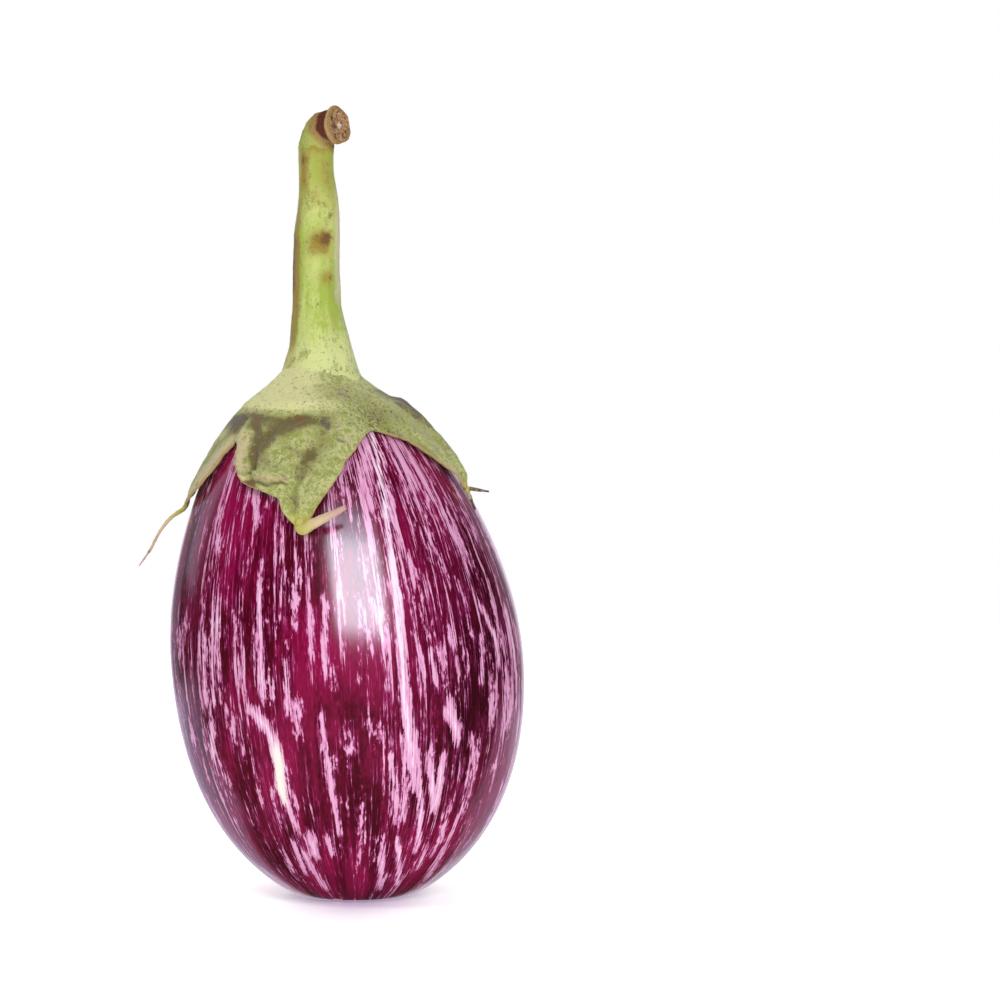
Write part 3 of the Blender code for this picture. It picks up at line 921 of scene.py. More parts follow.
@dataclass
class Calyx:
    """The green cap: a smooth crown under the stalk that parts into five thin, creased lobes."""

    fruit: Fruit
    clearance: float = 0.35 * MM
    blade: float = 0.6 * MM
    crown_height: float = 5.6 * MM
    crown_spread: float = 10.8
    shoulder_step: float = 0.95 * MM
    shoulder_polar: float = 26.6
    edge_curl: float = 0.8 * MM
    fullness: float = 0.95 * MM
    wander: float = 1.5
    cap_rows: int = 34
    lobe_rows: int = 72
    columns: int = 76
    flat_azimuth: float = -85.0
    flat_spread: float = 32.0
    flat_share: float = 0.9
    sinuses: tuple[tuple[float, float], ...] = ((-54, 38), (29.5, 34.2), (98, 35), (164, 33), (230, 35))
    lobes: tuple[Lobe, ...] = (
        Lobe(-10, 60.5, 1.2 * MM, Edge.SHOULDERED, Edge.PLAIN),
        Lobe(72, 52.5, 0.9 * MM, Edge.SLENDER, Edge.FULL),
        Lobe(134, 57, 1.6 * MM, Edge.FULL, Edge.PLAIN),
        Lobe(196, 61, 0.9 * MM, Edge.PLAIN, Edge.SHOULDERED),
        Lobe(270, 57, 0.8 * MM, Edge.FULL, Edge.BROAD),
    )
    folds: tuple[Stroke, ...] = (
        Stroke(((-52, 30.5), (-30, 31), (-8, 30.5)), 2.0, -0.35),
        Stroke(((-9, 29.8), (-19, 32.2), (-27, 35.1), (-34, 38.6)), 2.0, -0.75),
        Stroke(((-9, 33.8), (-20.8, 37), (-29, 40.5)), 1.5, 0.5),
        Stroke(((-41, 34.5), (-35.2, 40.9), (-32.4, 46.6)), 1.4, -0.95),
        Stroke(((-48.5, 36), (-43.4, 42.5), (-40.6, 49)), 2.2, 0.9),
        Stroke(((5.2, 28.5), (0.5, 35.6), (-5.5, 43.2)), 2.2, -0.7),
        Stroke(((-5.5, 43.2), (-11.2, 46.8), (-12.6, 51.4), (-12.8, 57)), 1.2, -0.6),
        Stroke(((-37, 48.0), (-25, 47.7), (-15.6, 48.1)), 0.85, 1.2),
        Stroke(((-33, 49.6), (-17, 49.5)), 0.7, -0.6),
        Stroke(((-24, 44), (-18, 45)), 3.4, 0.45),
        Stroke(((-28, 50.6), (-19, 51.6)), 1.6, 0.35),
        Stroke(((15, 34), (4, 46), (-6, 54)), 3.2, 0.6),
        Stroke(((9, 31), (8, 38)), 1.5, 0.45),
        Stroke(((-18, 38.5), (-8, 41)), 1.3, -0.3),
        Stroke(((46, 24), (62, 40), (76, 47)), 2.2, 0.55),
        Stroke(((70, 26), (74, 40), (73, 50)), 1.4, -0.5),
        Stroke(((56, 30), (66, 42)), 1.3, -0.35),
        Stroke(((88, 26), (82, 36), (80, 44)), 2.4, 0.7),
        Stroke(((118, 28), (126, 38), (130, 50)), 2.4, 0.8),
        Stroke(((134, 28), (136, 40), (134, 54)), 1.4, -0.6),
        Stroke(((152, 28), (146, 38), (139, 48)), 2.4, 0.7),
        Stroke(((126, 30), (131, 42)), 1.2, -0.4),
        Stroke(((180, 28), (188, 40), (192, 53)), 2.6, 0.7),
        Stroke(((196, 28), (194, 42), (197, 57)), 1.4, -0.6),
        Stroke(((216, 29), (210, 38), (202, 50)), 2.6, 0.9),
        Stroke(((204, 32), (207, 44)), 1.2, -0.4),
        Stroke(((248, 28), (256, 40), (263, 52)), 2.4, 0.8),
        Stroke(((268, 28), (266, 42), (268, 54)), 1.4, -0.6),
        Stroke(((288, 29), (282, 38), (275, 48)), 2.4, 0.25),
    )
    # Olive stains, and painted shade: the strokes near polar 29 to 33 lie under the crown's step, and those
    # that follow the creases in the folds darken them.
    stains_and_shades: tuple[Stroke, ...] = (
        Stroke(((-64, 29), (-33, 29.6), (-13, 29.4), (2, 29)), 1.7, 0.6),
        Stroke(((-9, 30.2), (-19, 32.6), (-27, 35.3), (-34, 39)), 3.0, 0.9),
        Stroke(((-34, 30.5), (-25, 31.5), (-31, 36), (-34, 42)), 3.6, 0.4),
        Stroke(((-39, 33), (-34.6, 40.9), (-32.4, 46.4)), 1.5, 1.0),
        Stroke(((8, 12), (26, 17), (38, 25)), 7.0, 0.34),
        Stroke(((40, 29), (58, 31), (74, 38)), 5.0, 0.3),
        Stroke(((5.2, 28.5), (0.5, 35.6), (-5.5, 43.2)), 2.6, 0.55),
        Stroke(((-5.5, 43.2), (-11.2, 46.8), (-12.6, 51.4), (-12.8, 55.5)), 1.4, 0.6),
        Stroke(((-33, 49.2), (-16, 49.2)), 0.6, 0.9),
        Stroke(((-46, 28.5), (-43, 30.5)), 2.4, 0.8),
        Stroke(((-62, 31), (-56, 34)), 3.0, 0.6),
        Stroke(((-37, 49.7), (-31, 50.8)), 1.5, 1.0),
        Stroke(((-58, 33), (-72, 40), (-84, 48)), 1.5, 0.5),
        Stroke(((-18, 38.8), (-6, 41.4)), 1.6, 0.45),
        Stroke(((-28, 43), (-20, 45.5)), 2.0, 0.3),
        Stroke(((-84, 27.5), (-70, 29.5), (-60, 31)), 2.4, 0.7),
        Stroke(((38, 33), (46, 36.4), (60, 41.5)), 1.6, 0.5),
        Stroke(((74, 25), (88, 34), (86, 44)), 4.0, 0.75),
        Stroke(((96, 22), (108, 30), (112, 34)), 5.0, 0.8),
        Stroke(((134, 28), (136, 40), (134, 52)), 1.8, 0.75),
        Stroke(((120, 31), (150, 30)), 2.4, 0.6),
        Stroke(((196, 28), (194, 42), (197, 55)), 1.8, 0.75),
        Stroke(((178, 30), (214, 31)), 2.4, 0.7),
        Stroke(((244, 30), (262, 33)), 3.0, 0.6),
    )
    freckled: tuple[Spot, ...] = (
        Spot(35, 24, 26, 11, 1.3), Spot(33, 31, 9, 4, 1.2), Spot(200, 25, 60, 12, 0.5),
        Spot(-30, 40, 20, 12, 0.25), Spot(100, 30, 30, 14, 0.5),
    )
    russets: tuple[Stroke, ...] = (
        Stroke(((-47, 28.3), (-42, 29.2)), 1.7, 0.9),
        Stroke(((-14, 29.2), (-9, 28.6)), 1.8, 0.9),
        Stroke(((-38, 49.4), (-34, 50.0), (-31, 51)), 1.6, 1.3),
        Stroke(((-55, 44), (-66, 51), (-72, 54)), 1.1, 0.8),
        Stroke(((34, 32.2), (41, 34.6)), 0.9, 0.6),
    )
    greys: tuple[Stroke, ...] = (
        Stroke(((3.5, 28.6), (4.5, 31)), 1.5, 0.9),
        Stroke(((80, 17), (88, 27), (92, 37), (92, 46)), 4.6, 1.1),
        Stroke(((-58, 30), (-72, 31), (-88, 34)), 3.4, 0.8),
        Stroke(((-88, 34), (-96, 44)), 3.0, 0.6),
        Stroke(((8, 36.6), (10, 37.4)), 0.9, 0.8),
    )
    # Pale straw colour; the strokes along fold ridges are also painted highlights on their tops.
    straws_and_highlights: tuple[Stroke, ...] = (
        Stroke(((-58, 39), (-64, 44), (-76, 50), (-86, 55)), 4.0, 1.0),
        Stroke(((-36.5, 47.6), (-26, 47.3), (-16, 47.9)), 0.9, 0.9),
        Stroke(((-47, 36), (-43.4, 41), (-40.6, 47.5)), 2.8, 1.2),
        Stroke(((36, 35.4), (52, 41.4), (66, 47)), 1.9, 0.9),
        Stroke(((4, 30.6), (9, 33.4), (12, 36.4)), 1.6, 0.5),
    )

    def outline(self, edge: Edge, share: np.ndarray) -> np.ndarray:
        """A lobe's half width at shares of its free length."""
        rows = np.array(edge.value)
        return np.interp(share, rows[:, 0], rows[:, 1])

    def stand_off(self, lobe: Lobe, azimuth: np.ndarray, polar: np.ndarray, beside: np.ndarray,
                  share: np.ndarray, parted: np.ndarray) -> np.ndarray:
        """How far each point of a lobe stands off the skin.

        Args:
            lobe: The lobe.
            azimuth: Each point's azimuth in radians.
            polar: Each point's polar angle in radians.
            beside: Each point's share of the way from the lobe's middle to its side.
            share: Each point's share of the lobe's free length.
            parted: How far the lobe has parted from its neighbours at each point.

        Returns:
            One height for each point.
        """
        lowest = self.clearance + self.blade
        lift = lobe.lift * smooth_step(0.35, 1.0, share)
        flat = ((np.degrees(azimuth) - self.flat_azimuth + 180) % 360 - 180) / self.flat_spread
        full = self.fullness * (1 - self.flat_share * np.exp(-(flat**2))) * (1 - beside**4 * parted)
        full *= (1 - smooth_step(0.7, 1.0, share)) * smooth_step(math.radians(20), math.radians(29), polar)
        curl = self.edge_curl * beside**4 * smooth_step(0.0, 0.35, share) * (1 - smooth_step(0.8, 1.0, share))
        creases = stroke_field(*self.strayed(azimuth, polar), self.folds) * MM
        creases *= 1 - smooth_step(0.85, 1.0, share)
        relief = np.maximum(lowest + lift + full + curl + creases, lowest)
        return relief + self.crown_heights(azimuth, np.degrees(polar))

    def shape_lobe(self, piece: Piece, index: int) -> None:
        """Turns a flat grid into one lobe with its part of the crown.

        Args:
            piece: A square grid from -1 to 1, its X across the lobe and its Y from crown to tip.
            index: The lobe's number.
        """
        lobe = self.lobes[index]
        left_turn, left_polar = self.sinuses[index]
        right_turn, right_polar = self.sinuses[(index + 1) % len(self.lobes)]
        if right_turn < lobe.azimuth:
            right_turn += 360
        across, along = piece.places[:, 0], (piece.places[:, 1] + 1) / 2
        beside, leftward = np.abs(across), across < 0
        spread = np.where(leftward, left_turn, right_turn) - lobe.azimuth
        middle = (left_polar + right_polar) / 2
        parting = middle + (np.where(leftward, left_polar, right_polar) - middle) * beside
        cap_share = self.cap_rows / (self.cap_rows + self.lobe_rows)
        share = np.clip((along - cap_share) / (1 - cap_share), 0, 1)
        side_key = np.where(leftward, 2.0, 8.0) + 3.7 * index
        keys = np.stack([share * 9, side_key, np.zeros_like(share)], axis=-1)
        rag = bumps(keys, 1.0) * 0.07 + bumps(keys, 0.3, 5.0) * 0.035
        width = np.where(leftward, self.outline(lobe.left, share), self.outline(lobe.right, share))
        width *= 1 + rag * smooth_step(0.0, 0.08, share) * (1 - share)
        azimuth = np.radians(lobe.azimuth + spread * beside * width)
        polar = np.radians(np.where(along <= cap_share, parting * along / cap_share,
                                    parting + (lobe.polar - parting) * share))
        parted = smooth_step(0.6, 1.0, along / cap_share)
        relief = self.stand_off(lobe, azimuth, polar, beside, share, parted)
        piece.places = self.fruit.point(azimuth, polar) + relief[:, None] * self.fruit.normal(azimuth, polar)
        piece.note("rim", smooth_step(0.0, 0.1, share) * beside**14)
        piece.note("tip", smooth_step(0.82, 0.98, share))

    def strayed(self, azimuth: np.ndarray, polar: np.ndarray) -> tuple[np.ndarray, np.ndarray]:
        """Moves angles a little to and fro, so that lines drawn by them wander.

        Args:
            azimuth: The azimuths in radians.
            polar: The polar angles in radians.

        Returns:
            The moved azimuths and polar angles.
        """
        level = np.sin(polar)
        sphere = np.stack([level * np.sin(azimuth), level * np.cos(azimuth), np.cos(polar)], axis=-1)
        step = math.radians(self.wander)
        sideways = bumps(sphere, 0.09, 1.0) + 0.5 * bumps(sphere, 0.035, 2.0)
        downward = bumps(sphere, 0.09, 5.0) + 0.5 * bumps(sphere, 0.035, 7.0)
        return azimuth + step * sideways / np.sin(np.maximum(polar, 0.2)), polar + step * downward

    def crown_heights(self, azimuth: np.ndarray, polar: np.ndarray) -> np.ndarray:
        """How far the crown stands off the lobes' level.

        Args:
            azimuth: Each point's azimuth in radians.
            polar: Each point's polar angle in degrees.

        Returns:
            One height for each point.
        """
        heap = self.crown_height * np.exp(-((polar / self.crown_spread) ** 2))
        turn = (np.degrees(azimuth) + 180) % 360 - 180
        step = self.shoulder_step * (0.3 + 0.7 * (1 - smooth_step(2.0, 24.0, np.abs(turn + 28) - 32)))
        return heap + step * (1 - smooth_step(self.shoulder_polar - 1.4, self.shoulder_polar + 1.6, polar))

    def note_colours(self, piece: Piece) -> None:
        """Notes where the cap is stained, painted with shade or highlight, pale and freckled.

        Args:
            piece: The cap.
        """
        places = piece.places
        azimuth, polar = self.fruit.angles(places)
        turn, fall = np.degrees(azimuth), np.degrees(polar)
        over = (places[:, 2] - self.fruit.girth_height - self.fruit.upper_half) / MM
        ring = np.exp(-(((over - 2.2) / 1.6) ** 2)) * (0.55 + 0.45 * np.sin(azimuth))
        crown = 1 - smooth_step(self.shoulder_polar - 3, self.shoulder_polar, fall)
        leftward = (1 - smooth_step(-20, 25, turn)) * smooth_step(-178, -128, turn)
        strayed = self.strayed(azimuth, polar)
        # The stains include painted shade, and the straw includes painted highlights on fold ridges.
        for name, strokes, most in (("stain_and_shade", self.stains_and_shades, 1.2), ("russet", self.russets, 1.0),
                                    ("grey", self.greys, 1.0), ("straw_and_highlight", self.straws_and_highlights, 1.0)):
            piece.note(name, np.clip(stroke_field(*strayed, strokes), 0, most))
        piece.note("paleness", crown * (0.2 + 0.9 * leftward))
        piece.note("freckles", ring + spot_field(turn, fall, self.freckled))

    def make_sheet(self, index: int) -> Piece:
        """Shapes one lobe from a grid.

        Args:
            index: The lobe's number.

        Returns:
            The lobe, without its thickness.
        """
        select_only()
        rows = self.cap_rows + self.lobe_rows
        bpy.ops.mesh.primitive_grid_add(x_subdivisions=self.columns, y_subdivisions=rows, size=2)
        sheet = Piece(f"lobe_{index}", bpy.context.object)
        self.shape_lobe(sheet, index)
        return sheet

    def build(self, leaf: bpy.types.Material) -> Piece:
        """Shapes the five lobes, joins them, gives them thickness and dresses them.

        Args:
            leaf: The finish.

        Returns:
            The cap.
        """
        piece = join("calyx_leaf", [self.make_sheet(index) for index in range(len(self.lobes))])
        bpy.ops.object.mode_set(mode="EDIT")
        bpy.ops.mesh.select_all(action="SELECT")
        bpy.ops.mesh.remove_doubles(threshold=0.02 * MM)
        bpy.ops.mesh.normals_make_consistent(inside=False)
        bpy.ops.object.mode_set(mode="OBJECT")
        places = piece.places
        piece.swell(bumps(places, 3.2 * MM) * 0.16 * MM + bumps(places, 1.3 * MM, 4.0) * 0.07 * MM)
        piece.apply("SOLIDIFY", thickness=self.blade, offset=-1.0)
        self.note_colours(piece)
        piece.dress(leaf, "calyx_green", "calyx")
        return piece


@dataclass(frozen=True)
class Awn:
    """A dried awn: its lobe, its bends off the lobe's tip, its radii and its darkness.

    The bends and radii are in millimetres, and the radii start with those of its two root points.
    """

    lobe: int
    bends: tuple[Place, ...]
    radii: tuple[float, ...]
    darkness: float


@dataclass
class Awns:
    """The dried awns that run on from the lobes' tips."""

    calyx: Calyx
    bevel: int = 3
    fineness: int = 12
    root_length: float = 1.7
    awns: tuple[Awn, ...] = (
        Awn(0, ((2.2, -1.3, 0.9), (5.4, -2.3, 2.5), (9.5, -2.8, 4.6)), (1.15, 1.35, 1.2, 0.9, 0.55), 0.05),
        Awn(1, ((1.2, -0.3, -0.1), (2.6, -0.6, -0.3), (4.9, -1.0, -0.6)), (0.6, 0.6, 0.45, 0.35, 0.25), 0.75),
        Awn(1, ((0.6, -0.9, -1.3), (1.2, -1.5, -2.7), (1.9, -2.0, -4.4)), (0.6, 0.55, 0.4, 0.34, 0.2), 0.75),
        Awn(2, ((0.4, 1.4, -1.8), (0.9, 2.6, -4.2), (0.8, 3.4, -7.2)), (0.7, 0.7, 0.5, 0.35, 0.15), 0.4),
        Awn(3, ((-0.4, 1.4, -2.0), (-1.4, 2.3, -4.8), (-3.2, 2.6, -7.8)), (0.7, 0.7, 0.5, 0.35, 0.15), 0.4),
        Awn(4, ((-3.4, -0.6, -2.7), (-5.4, -1.0, -5.2), (-7.8, -1.4, -9.6), (-10.2, -1.6, -13.1)),
            (0.5, 0.55, 0.42, 0.34, 0.27, 0.12), 0.35),
    )

    def root(self, index: int) -> list[Vector]:
        """Where an awn starts inside its lobe.

        Args:
            index: The lobe's number.

        Returns:
            Two points, the second at the lobe's tip.
        """
        lobe, fruit = self.calyx.lobes[index], self.calyx.fruit
        azimuth = np.radians([lobe.azimuth, lobe.azimuth])
        polar = np.radians([lobe.polar - self.root_length, lobe.polar])
        off = self.calyx.clearance + self.calyx.blade / 2 + lobe.lift
        return [Vector(row) for row in fruit.point(azimuth, polar) + off * fruit.normal(azimuth, polar)]

    def draw(self, awn: Awn) -> Piece:
        """Draws an awn as a tapered curve and makes it a mesh.

        Args:
            awn: The awn.

        Returns:
            The mesh, with its colours noted.
        """
        line = self.root(awn.lobe)
        line += [line[1] + Vector(bend) * MM for bend in awn.bends]
        curve = bpy.data.curves.new("awn", "CURVE")
        curve.dimensions = "3D"
        curve.bevel_depth = MM
        curve.bevel_resolution = self.bevel
        curve.use_fill_caps = True
        curve.resolution_u = self.fineness
        spline = curve.splines.new("BEZIER")
        spline.bezier_points.add(len(line) - 1)
        for point, place, radius in zip(spline.bezier_points, line, awn.radii, strict=True):
            point.co = place
            point.radius = radius
            point.handle_left_type = "AUTO"
            point.handle_right_type = "AUTO"
        obj = bpy.data.objects.new("awn", curve)
        bpy.context.scene.collection.objects.link(obj)
        select_only(obj)
        bpy.ops.object.convert(target="MESH")
        piece = Piece("awn", bpy.context.object)
        places = piece.places
        far = np.linalg.norm(places - np.array(line[1]), axis=1)
        far /= far.max()
        piece.note("along", far)
        piece.note("darkness", awn.darkness * (0.4 + 0.6 * far))
        piece.swell(bumps(places, 1.1 * MM, 3.0) * 0.12 * MM)
        return piece

    def build(self, tan: bpy.types.Material) -> Piece:
        """Draws the awns, joins them as one mesh and dresses them.

        Args:
            tan: The finish.

        Returns:
            The awns.
        """
        piece = join("awns", [self.draw(awn) for awn in self.awns])
        piece.dress(tan, "calyx_green")
        return piece


@dataclass
class Stalk:
    """The stout green stem, flared at its foot and slightly knotted along its length."""

    line: tuple[tuple[Place, float], ...] = (
        ((-7.5, 1.6, 111.4), 11.0),
        ((-7.5, 1.6, 112.5), 9.9),
        ((-7.5, 1.6, 113.5), 9.1),
        ((-7.5, 1.6, 114.7), 8.45),
        ((-7.5, 1.6, 116.6), 7.85),
        ((-7.5, 1.6, 120.0), 6.9),
        ((-7.8, 1.5, 124.0), 6.1),
        ((-8.15, 1.3, 129.0), 5.3),
        ((-8.3, 1.1, 137.0), 5.05),
        ((-8.1, 0.8, 144.5), 5.0),
        ((-7.75, 0.4, 149.5), 4.6),
        ((-7.75, 0.2, 153.0), 4.3),
        ((-8.15, 0.0, 158.0), 3.8),
        ((-8.2, 0.0, 161.2), 3.8),
        ((-8.2, 0.0, 164.4), 3.9),
    )
    segments: int = 96
    rings: int = 260

    scuffs: tuple[Spot, ...] = (
        Spot(27, 143.6, 13, 1.8, 1.2), Spot(4, 143.4, 16, 1.3, 0.5), Spot(-50, 160.3, 11, 1.5, 0.75),
        Spot(-47, 156.4, 10, 1.5, 0.5), Spot(-74, 136, 12, 9, 0.9), Spot(150, 142, 30, 3, 0.5),
        Spot(34, 149.0, 7, 0.9, 0.45), Spot(22, 151.0, 8, 0.6, 0.4), Spot(38, 135.0, 8, 1.1, 0.5),
        Spot(18, 162.4, 12, 0.4, 0.4),
    )
    ochres: tuple[Spot, ...] = (
        Spot(-66, 134, 20, 13, 1.7), Spot(12, 142.9, 32, 3.0, 1.1), Spot(-49, 158.6, 15, 4.0, 0.75),
        Spot(24, 135, 20, 2.2, 0.6), Spot(170, 138, 40, 9, 0.7), Spot(110, 152, 30, 5, 0.5),
        Spot(38, 126, 9, 8, 0.4), Spot(-60, 120, 20, 6, 0.35),
    )
    blooms: tuple[Spot, ...] = (
        Spot(30, 163.4, 30, 1.0, 0.8), Spot(66, 143, 14, 14, 0.9), Spot(12, 146.2, 7, 0.8, 0.6),
        Spot(62, 134, 16, 18, 0.6),
    )
    freckled: tuple[Spot, ...] = (Spot(74, 124, 16, 12, 0.7),)

    def note_colours(self, piece: Piece, azimuth: np.ndarray, tall: np.ndarray) -> None:
        """Notes where the stem is scuffed, ochre, pale and freckled.

        Args:
            piece: The stem.
            azimuth: Each point's azimuth in radians.
            tall: Each point's height in millimetres.
        """
        turn = np.degrees(azimuth)
        ochre = spot_field(turn, tall, self.ochres)
        ochre += 0.36 * smooth_step(144, 156, tall) + 0.1 * smooth_step(128, 140, tall)
        ochre += 0.6 * smooth_step(161.5, 164.0, tall) * (0.5 + 0.5 * np.sin(azimuth + 0.3))
        ring = np.exp(-(((tall - 114.6) / 1.2) ** 2)) * (0.6 + 0.4 * np.sin(azimuth))
        piece.note("scuff", np.clip(spot_field(turn, tall, self.scuffs), 0, 1.2))
        piece.note("ochre", np.clip(ochre, 0, 1.4))
        piece.note("foot", 1 - smooth_step(115, 129, tall))
        piece.note("bloom", spot_field(turn, tall, self.blooms))
        piece.note("freckles", 1.1 * ring + spot_field(turn, tall, self.freckled) + 0.25)

    def build(self, stem: bpy.types.Material) -> Piece:
        """Shapes the stem from a sphere's rings, roughens it and dresses it.

        Args:
            stem: The finish.

        Returns:
            The stem.
        """
        piece = unit_sphere("stalk_stem", self.segments, self.rings)
        azimuth, polar = sphere_angles(piece)
        rows = np.array([(*place, radius) for place, radius in self.line]) * MM
        share = 1 - polar / math.pi
        height = rows[0, 2] + share * (rows[-1, 2] - rows[0, 2])
        x, y, radius = (np.interp(height, rows[:, 2], rows[:, column]) for column in (0, 1, 3))
        radius[(share < 0.5 / self.rings) | (share > 1 - 0.5 / self.rings)] = 0
        radius *= 1 + 0.018 * np.cos(5 * azimuth + 0.6) + 0.01 * np.cos(9 * azimuth + height * 90)
        places = np.stack([x + radius * np.sin(azimuth), y - radius * np.cos(azimuth), height], axis=-1)
        piece.places = places
        piece.apply("SMOOTH", factor=0.5, iterations=6)
        long_bumps = bumps(places * (1, 1, 0.35), 2.4 * MM) * 0.16 * MM
        piece.swell(long_bumps + bumps(places, 1.1 * MM, 4.0) * 0.05 * MM)
        self.note_colours(piece, azimuth, height / MM)
        piece.dress(stem, "stalk_green", "stalk")
        return piece


@dataclass
class StalkEnd:
    """The dry knuckle at the stem's top: a domed heel, and a stub that turns aside to the cut face."""

    heel: tuple[tuple[Place, float], ...] = (
        ((-8.2, 0.0, 163.2), 3.85), ((-8.2, 0.0, 164.2), 3.9), ((-8.05, -0.05, 165.3), 3.85),
        ((-7.65, -0.2, 166.9), 3.7), ((-7.25, -0.45, 168.6), 3.3), ((-6.95, -0.7, 169.9), 2.6),
        ((-6.8, -0.85, 170.8), 1.7), ((-6.75, -0.9, 171.2), 0.7),
    )
    stub_base: Place = (-7.4, -0.6, 167.6)
    stub_axis: Place = (0.84, -0.53, 0.12)
    stub: tuple[tuple[float, float], ...] = (
        (0.0, 2.2), (1.2, 3.3), (2.6, 3.45), (3.1, 3.4), (3.7, 3.7), (4.3, 4.15), (4.9, 4.25), (5.3, 4.0),
        (5.2, 3.3), (4.85, 2.4), (4.8, 1.4), (5.05, 0.6), (5.1, 0.0),
    )
    voxel: float = 0.15 * MM

    def axes(self) -> tuple[np.ndarray, np.ndarray]:
        """The stub's own direction, and the level direction across it."""
        axis = np.array(Vector(self.stub_axis).normalized())
        return axis, np.cross(axis, (0, 0, 1))

    def make_heel(self) -> Piece:
        """Shapes the heel as rings of a sphere that close over its top.

        Returns:
            The heel.
        """
        piece = unit_sphere("heel", 64, 60)
        azimuth, polar = sphere_angles(piece)
        rows = np.array([(*place, radius) for place, radius in self.heel]) * MM
        share = 1 - polar / math.pi
        steps = np.linspace(0, 1, len(rows))
        x, y, z, radius = (np.interp(share, steps, rows[:, column]) for column in range(4))
        radius = np.where((share < 0.005) | (share > 0.995), 0, radius)
        piece.places = np.stack([x + radius * np.sin(azimuth), y - radius * np.cos(azimuth), z], axis=-1)
        return piece

    def make_stub(self) -> Piece:
        """Turns the stub round its own axis, with a rim round the sunken face.

        Returns:
            The stub.
        """
        piece = unit_sphere("stub", 64, 90)
        azimuth, polar = sphere_angles(piece)
        rows = np.array(self.stub) * MM
        run = np.concatenate([[0.0], np.cumsum(np.linalg.norm(np.diff(rows, axis=0), axis=1))])
        share = 1 - polar / math.pi
        along, radius = (np.interp(share * run[-1], run, rows[:, column]) for column in range(2))
        radius = np.where(share < 0.005, 0, radius)
        radius *= 1 + 0.04 * np.sin(3 * azimuth + 1) + 0.03 * np.sin(5 * azimuth)
        axis, side = self.axes()
        side = side / np.linalg.norm(side)
        lift = np.cross(side, axis)
        ring = (radius * np.cos(azimuth))[:, None] * lift + (radius * np.sin(azimuth))[:, None] * side
        piece.places = np.array(self.stub_base) * MM + along[:, None] * axis + ring
        return piece

    def crack_face(self, piece: Piece) -> None:
        """Cracks the cut face, roughens the bark and notes where each colour lies.

        Args:
            piece: The knuckle.
        """
        places = piece.places
        axis, side = self.axes()
        from_base = places - np.array(self.stub_base) * MM
        along = from_base @ axis
        radial = np.linalg.norm(from_base - along[:, None] * axis, axis=1)
        across = from_base @ side
        face = smooth_step(4.35 * MM, 4.75 * MM, along) * (1 - smooth_step(3.35 * MM, 3.7 * MM, radial))
        weave = np.stack([places @ axis, across * 1.4, places[:, 2] * 0.8], axis=-1)
        fibres = np.abs(bumps(weave, 0.8 * MM, 6.0))
        cleft = 0.8 * np.exp(-(((across / MM - 1.9 + 0.9 * np.sin(places[:, 2] * 1100)) / 0.5) ** 2))
        height = bumps(places, 1.8 * MM) * 0.14 + bumps(places, 0.7 * MM, 3.0) * 0.08
        height -= face * (0.32 * (1 - smooth_step(0.0, 0.2, fibres)) + 0.4 * cleft)
        height += face * (0.35 * bumps(places, 1.1 * MM, 9.0) + 0.2 * bumps(places, 0.5 * MM, 11.0))
        piece.swell(height * MM)
        collar = np.exp(-(((along - 4.3 * MM) / (0.6 * MM)) ** 2)) * smooth_step(3.2 * MM, 3.6 * MM, radial)
        turned = along / MM + 0.8 * np.minimum(places[:, 2] / MM - 167.1, 0)
        neck = smooth_step(0.3, 2.2, turned) * (1 - smooth_step(3.2, 3.8, along / MM))
        piece.note("face", face)
        # The sunken cracks, which the finish darkens with painted shade.
        piece.note("cleft", np.clip(cleft + 0.6 * (1 - smooth_step(0.0, 0.25, fibres)), 0, 1))
        piece.note("collar", np.clip(collar, 0, 1))
        piece.note("greenness", np.clip((1 - smooth_step(-2.6, 0.8, turned)) * (1 - face), 0, 1))
        piece.note("pith", face * np.exp(-((radial / (0.8 * MM)) ** 2)))
        piece.note("darkness", neck * 1.1)

    def build(self, cork: bpy.types.Material) -> Piece:
        """Grows the heel and stub into one body, cracks its face and dresses it.

        Args:
            cork: The finish.

        Returns:
            The knuckle.
        """
        piece = join("stalk_knuckle", [self.make_heel(), self.make_stub()])
        piece.apply("REMESH", mode="VOXEL", voxel_size=self.voxel)
        piece.apply("SMOOTH", factor=0.5, iterations=3)
        self.crack_face(piece)
        piece.dress(cork, "dry_brown", "stalk_end")
        return piece


@dataclass
class BlossomScar:
    """The small corky scar where the flower fell away, at the edge of the flat spot."""

    place: Place = (-3.2, -12.9, 1.0)
    half_sizes: Place = (1.7, 1.1, 0.75)

    def build(self, cork: bpy.types.Material) -> Piece:
        """Flattens and roughens a small ball and dresses it.

        Args:
            cork: The finish.

        Returns:
            The scar.
        """
        piece = unit_sphere("blossom_scar", 32, 20)
        ball = piece.places
        rough = 1 + 0.22 * bumps(ball, 0.6, 2.0)
        piece.places = (ball * rough[:, None] * self.half_sizes + self.place) * MM
        for name, value in (("face", 1.0), ("cleft", 0.0), ("collar", 0.0), ("greenness", 0.0), ("pith", 0.9),
                            ("darkness", 0.0)):
            piece.note(name, np.full(len(ball), value))
        piece.dress(cork, "dry_brown")
        return piece


@dataclass(frozen=True)
class Softbox:
    """A rectangular light that faces the fruit: its bearing and height in degrees, its power in watts."""

    name: str
    azimuth: float
    elevation: float
    distance: float
    size: tuple[float, float]
    power: float
    colour: Colour = (1.0, 1.0, 1.0)
    diffuse: bool = True
    glossy: bool = True


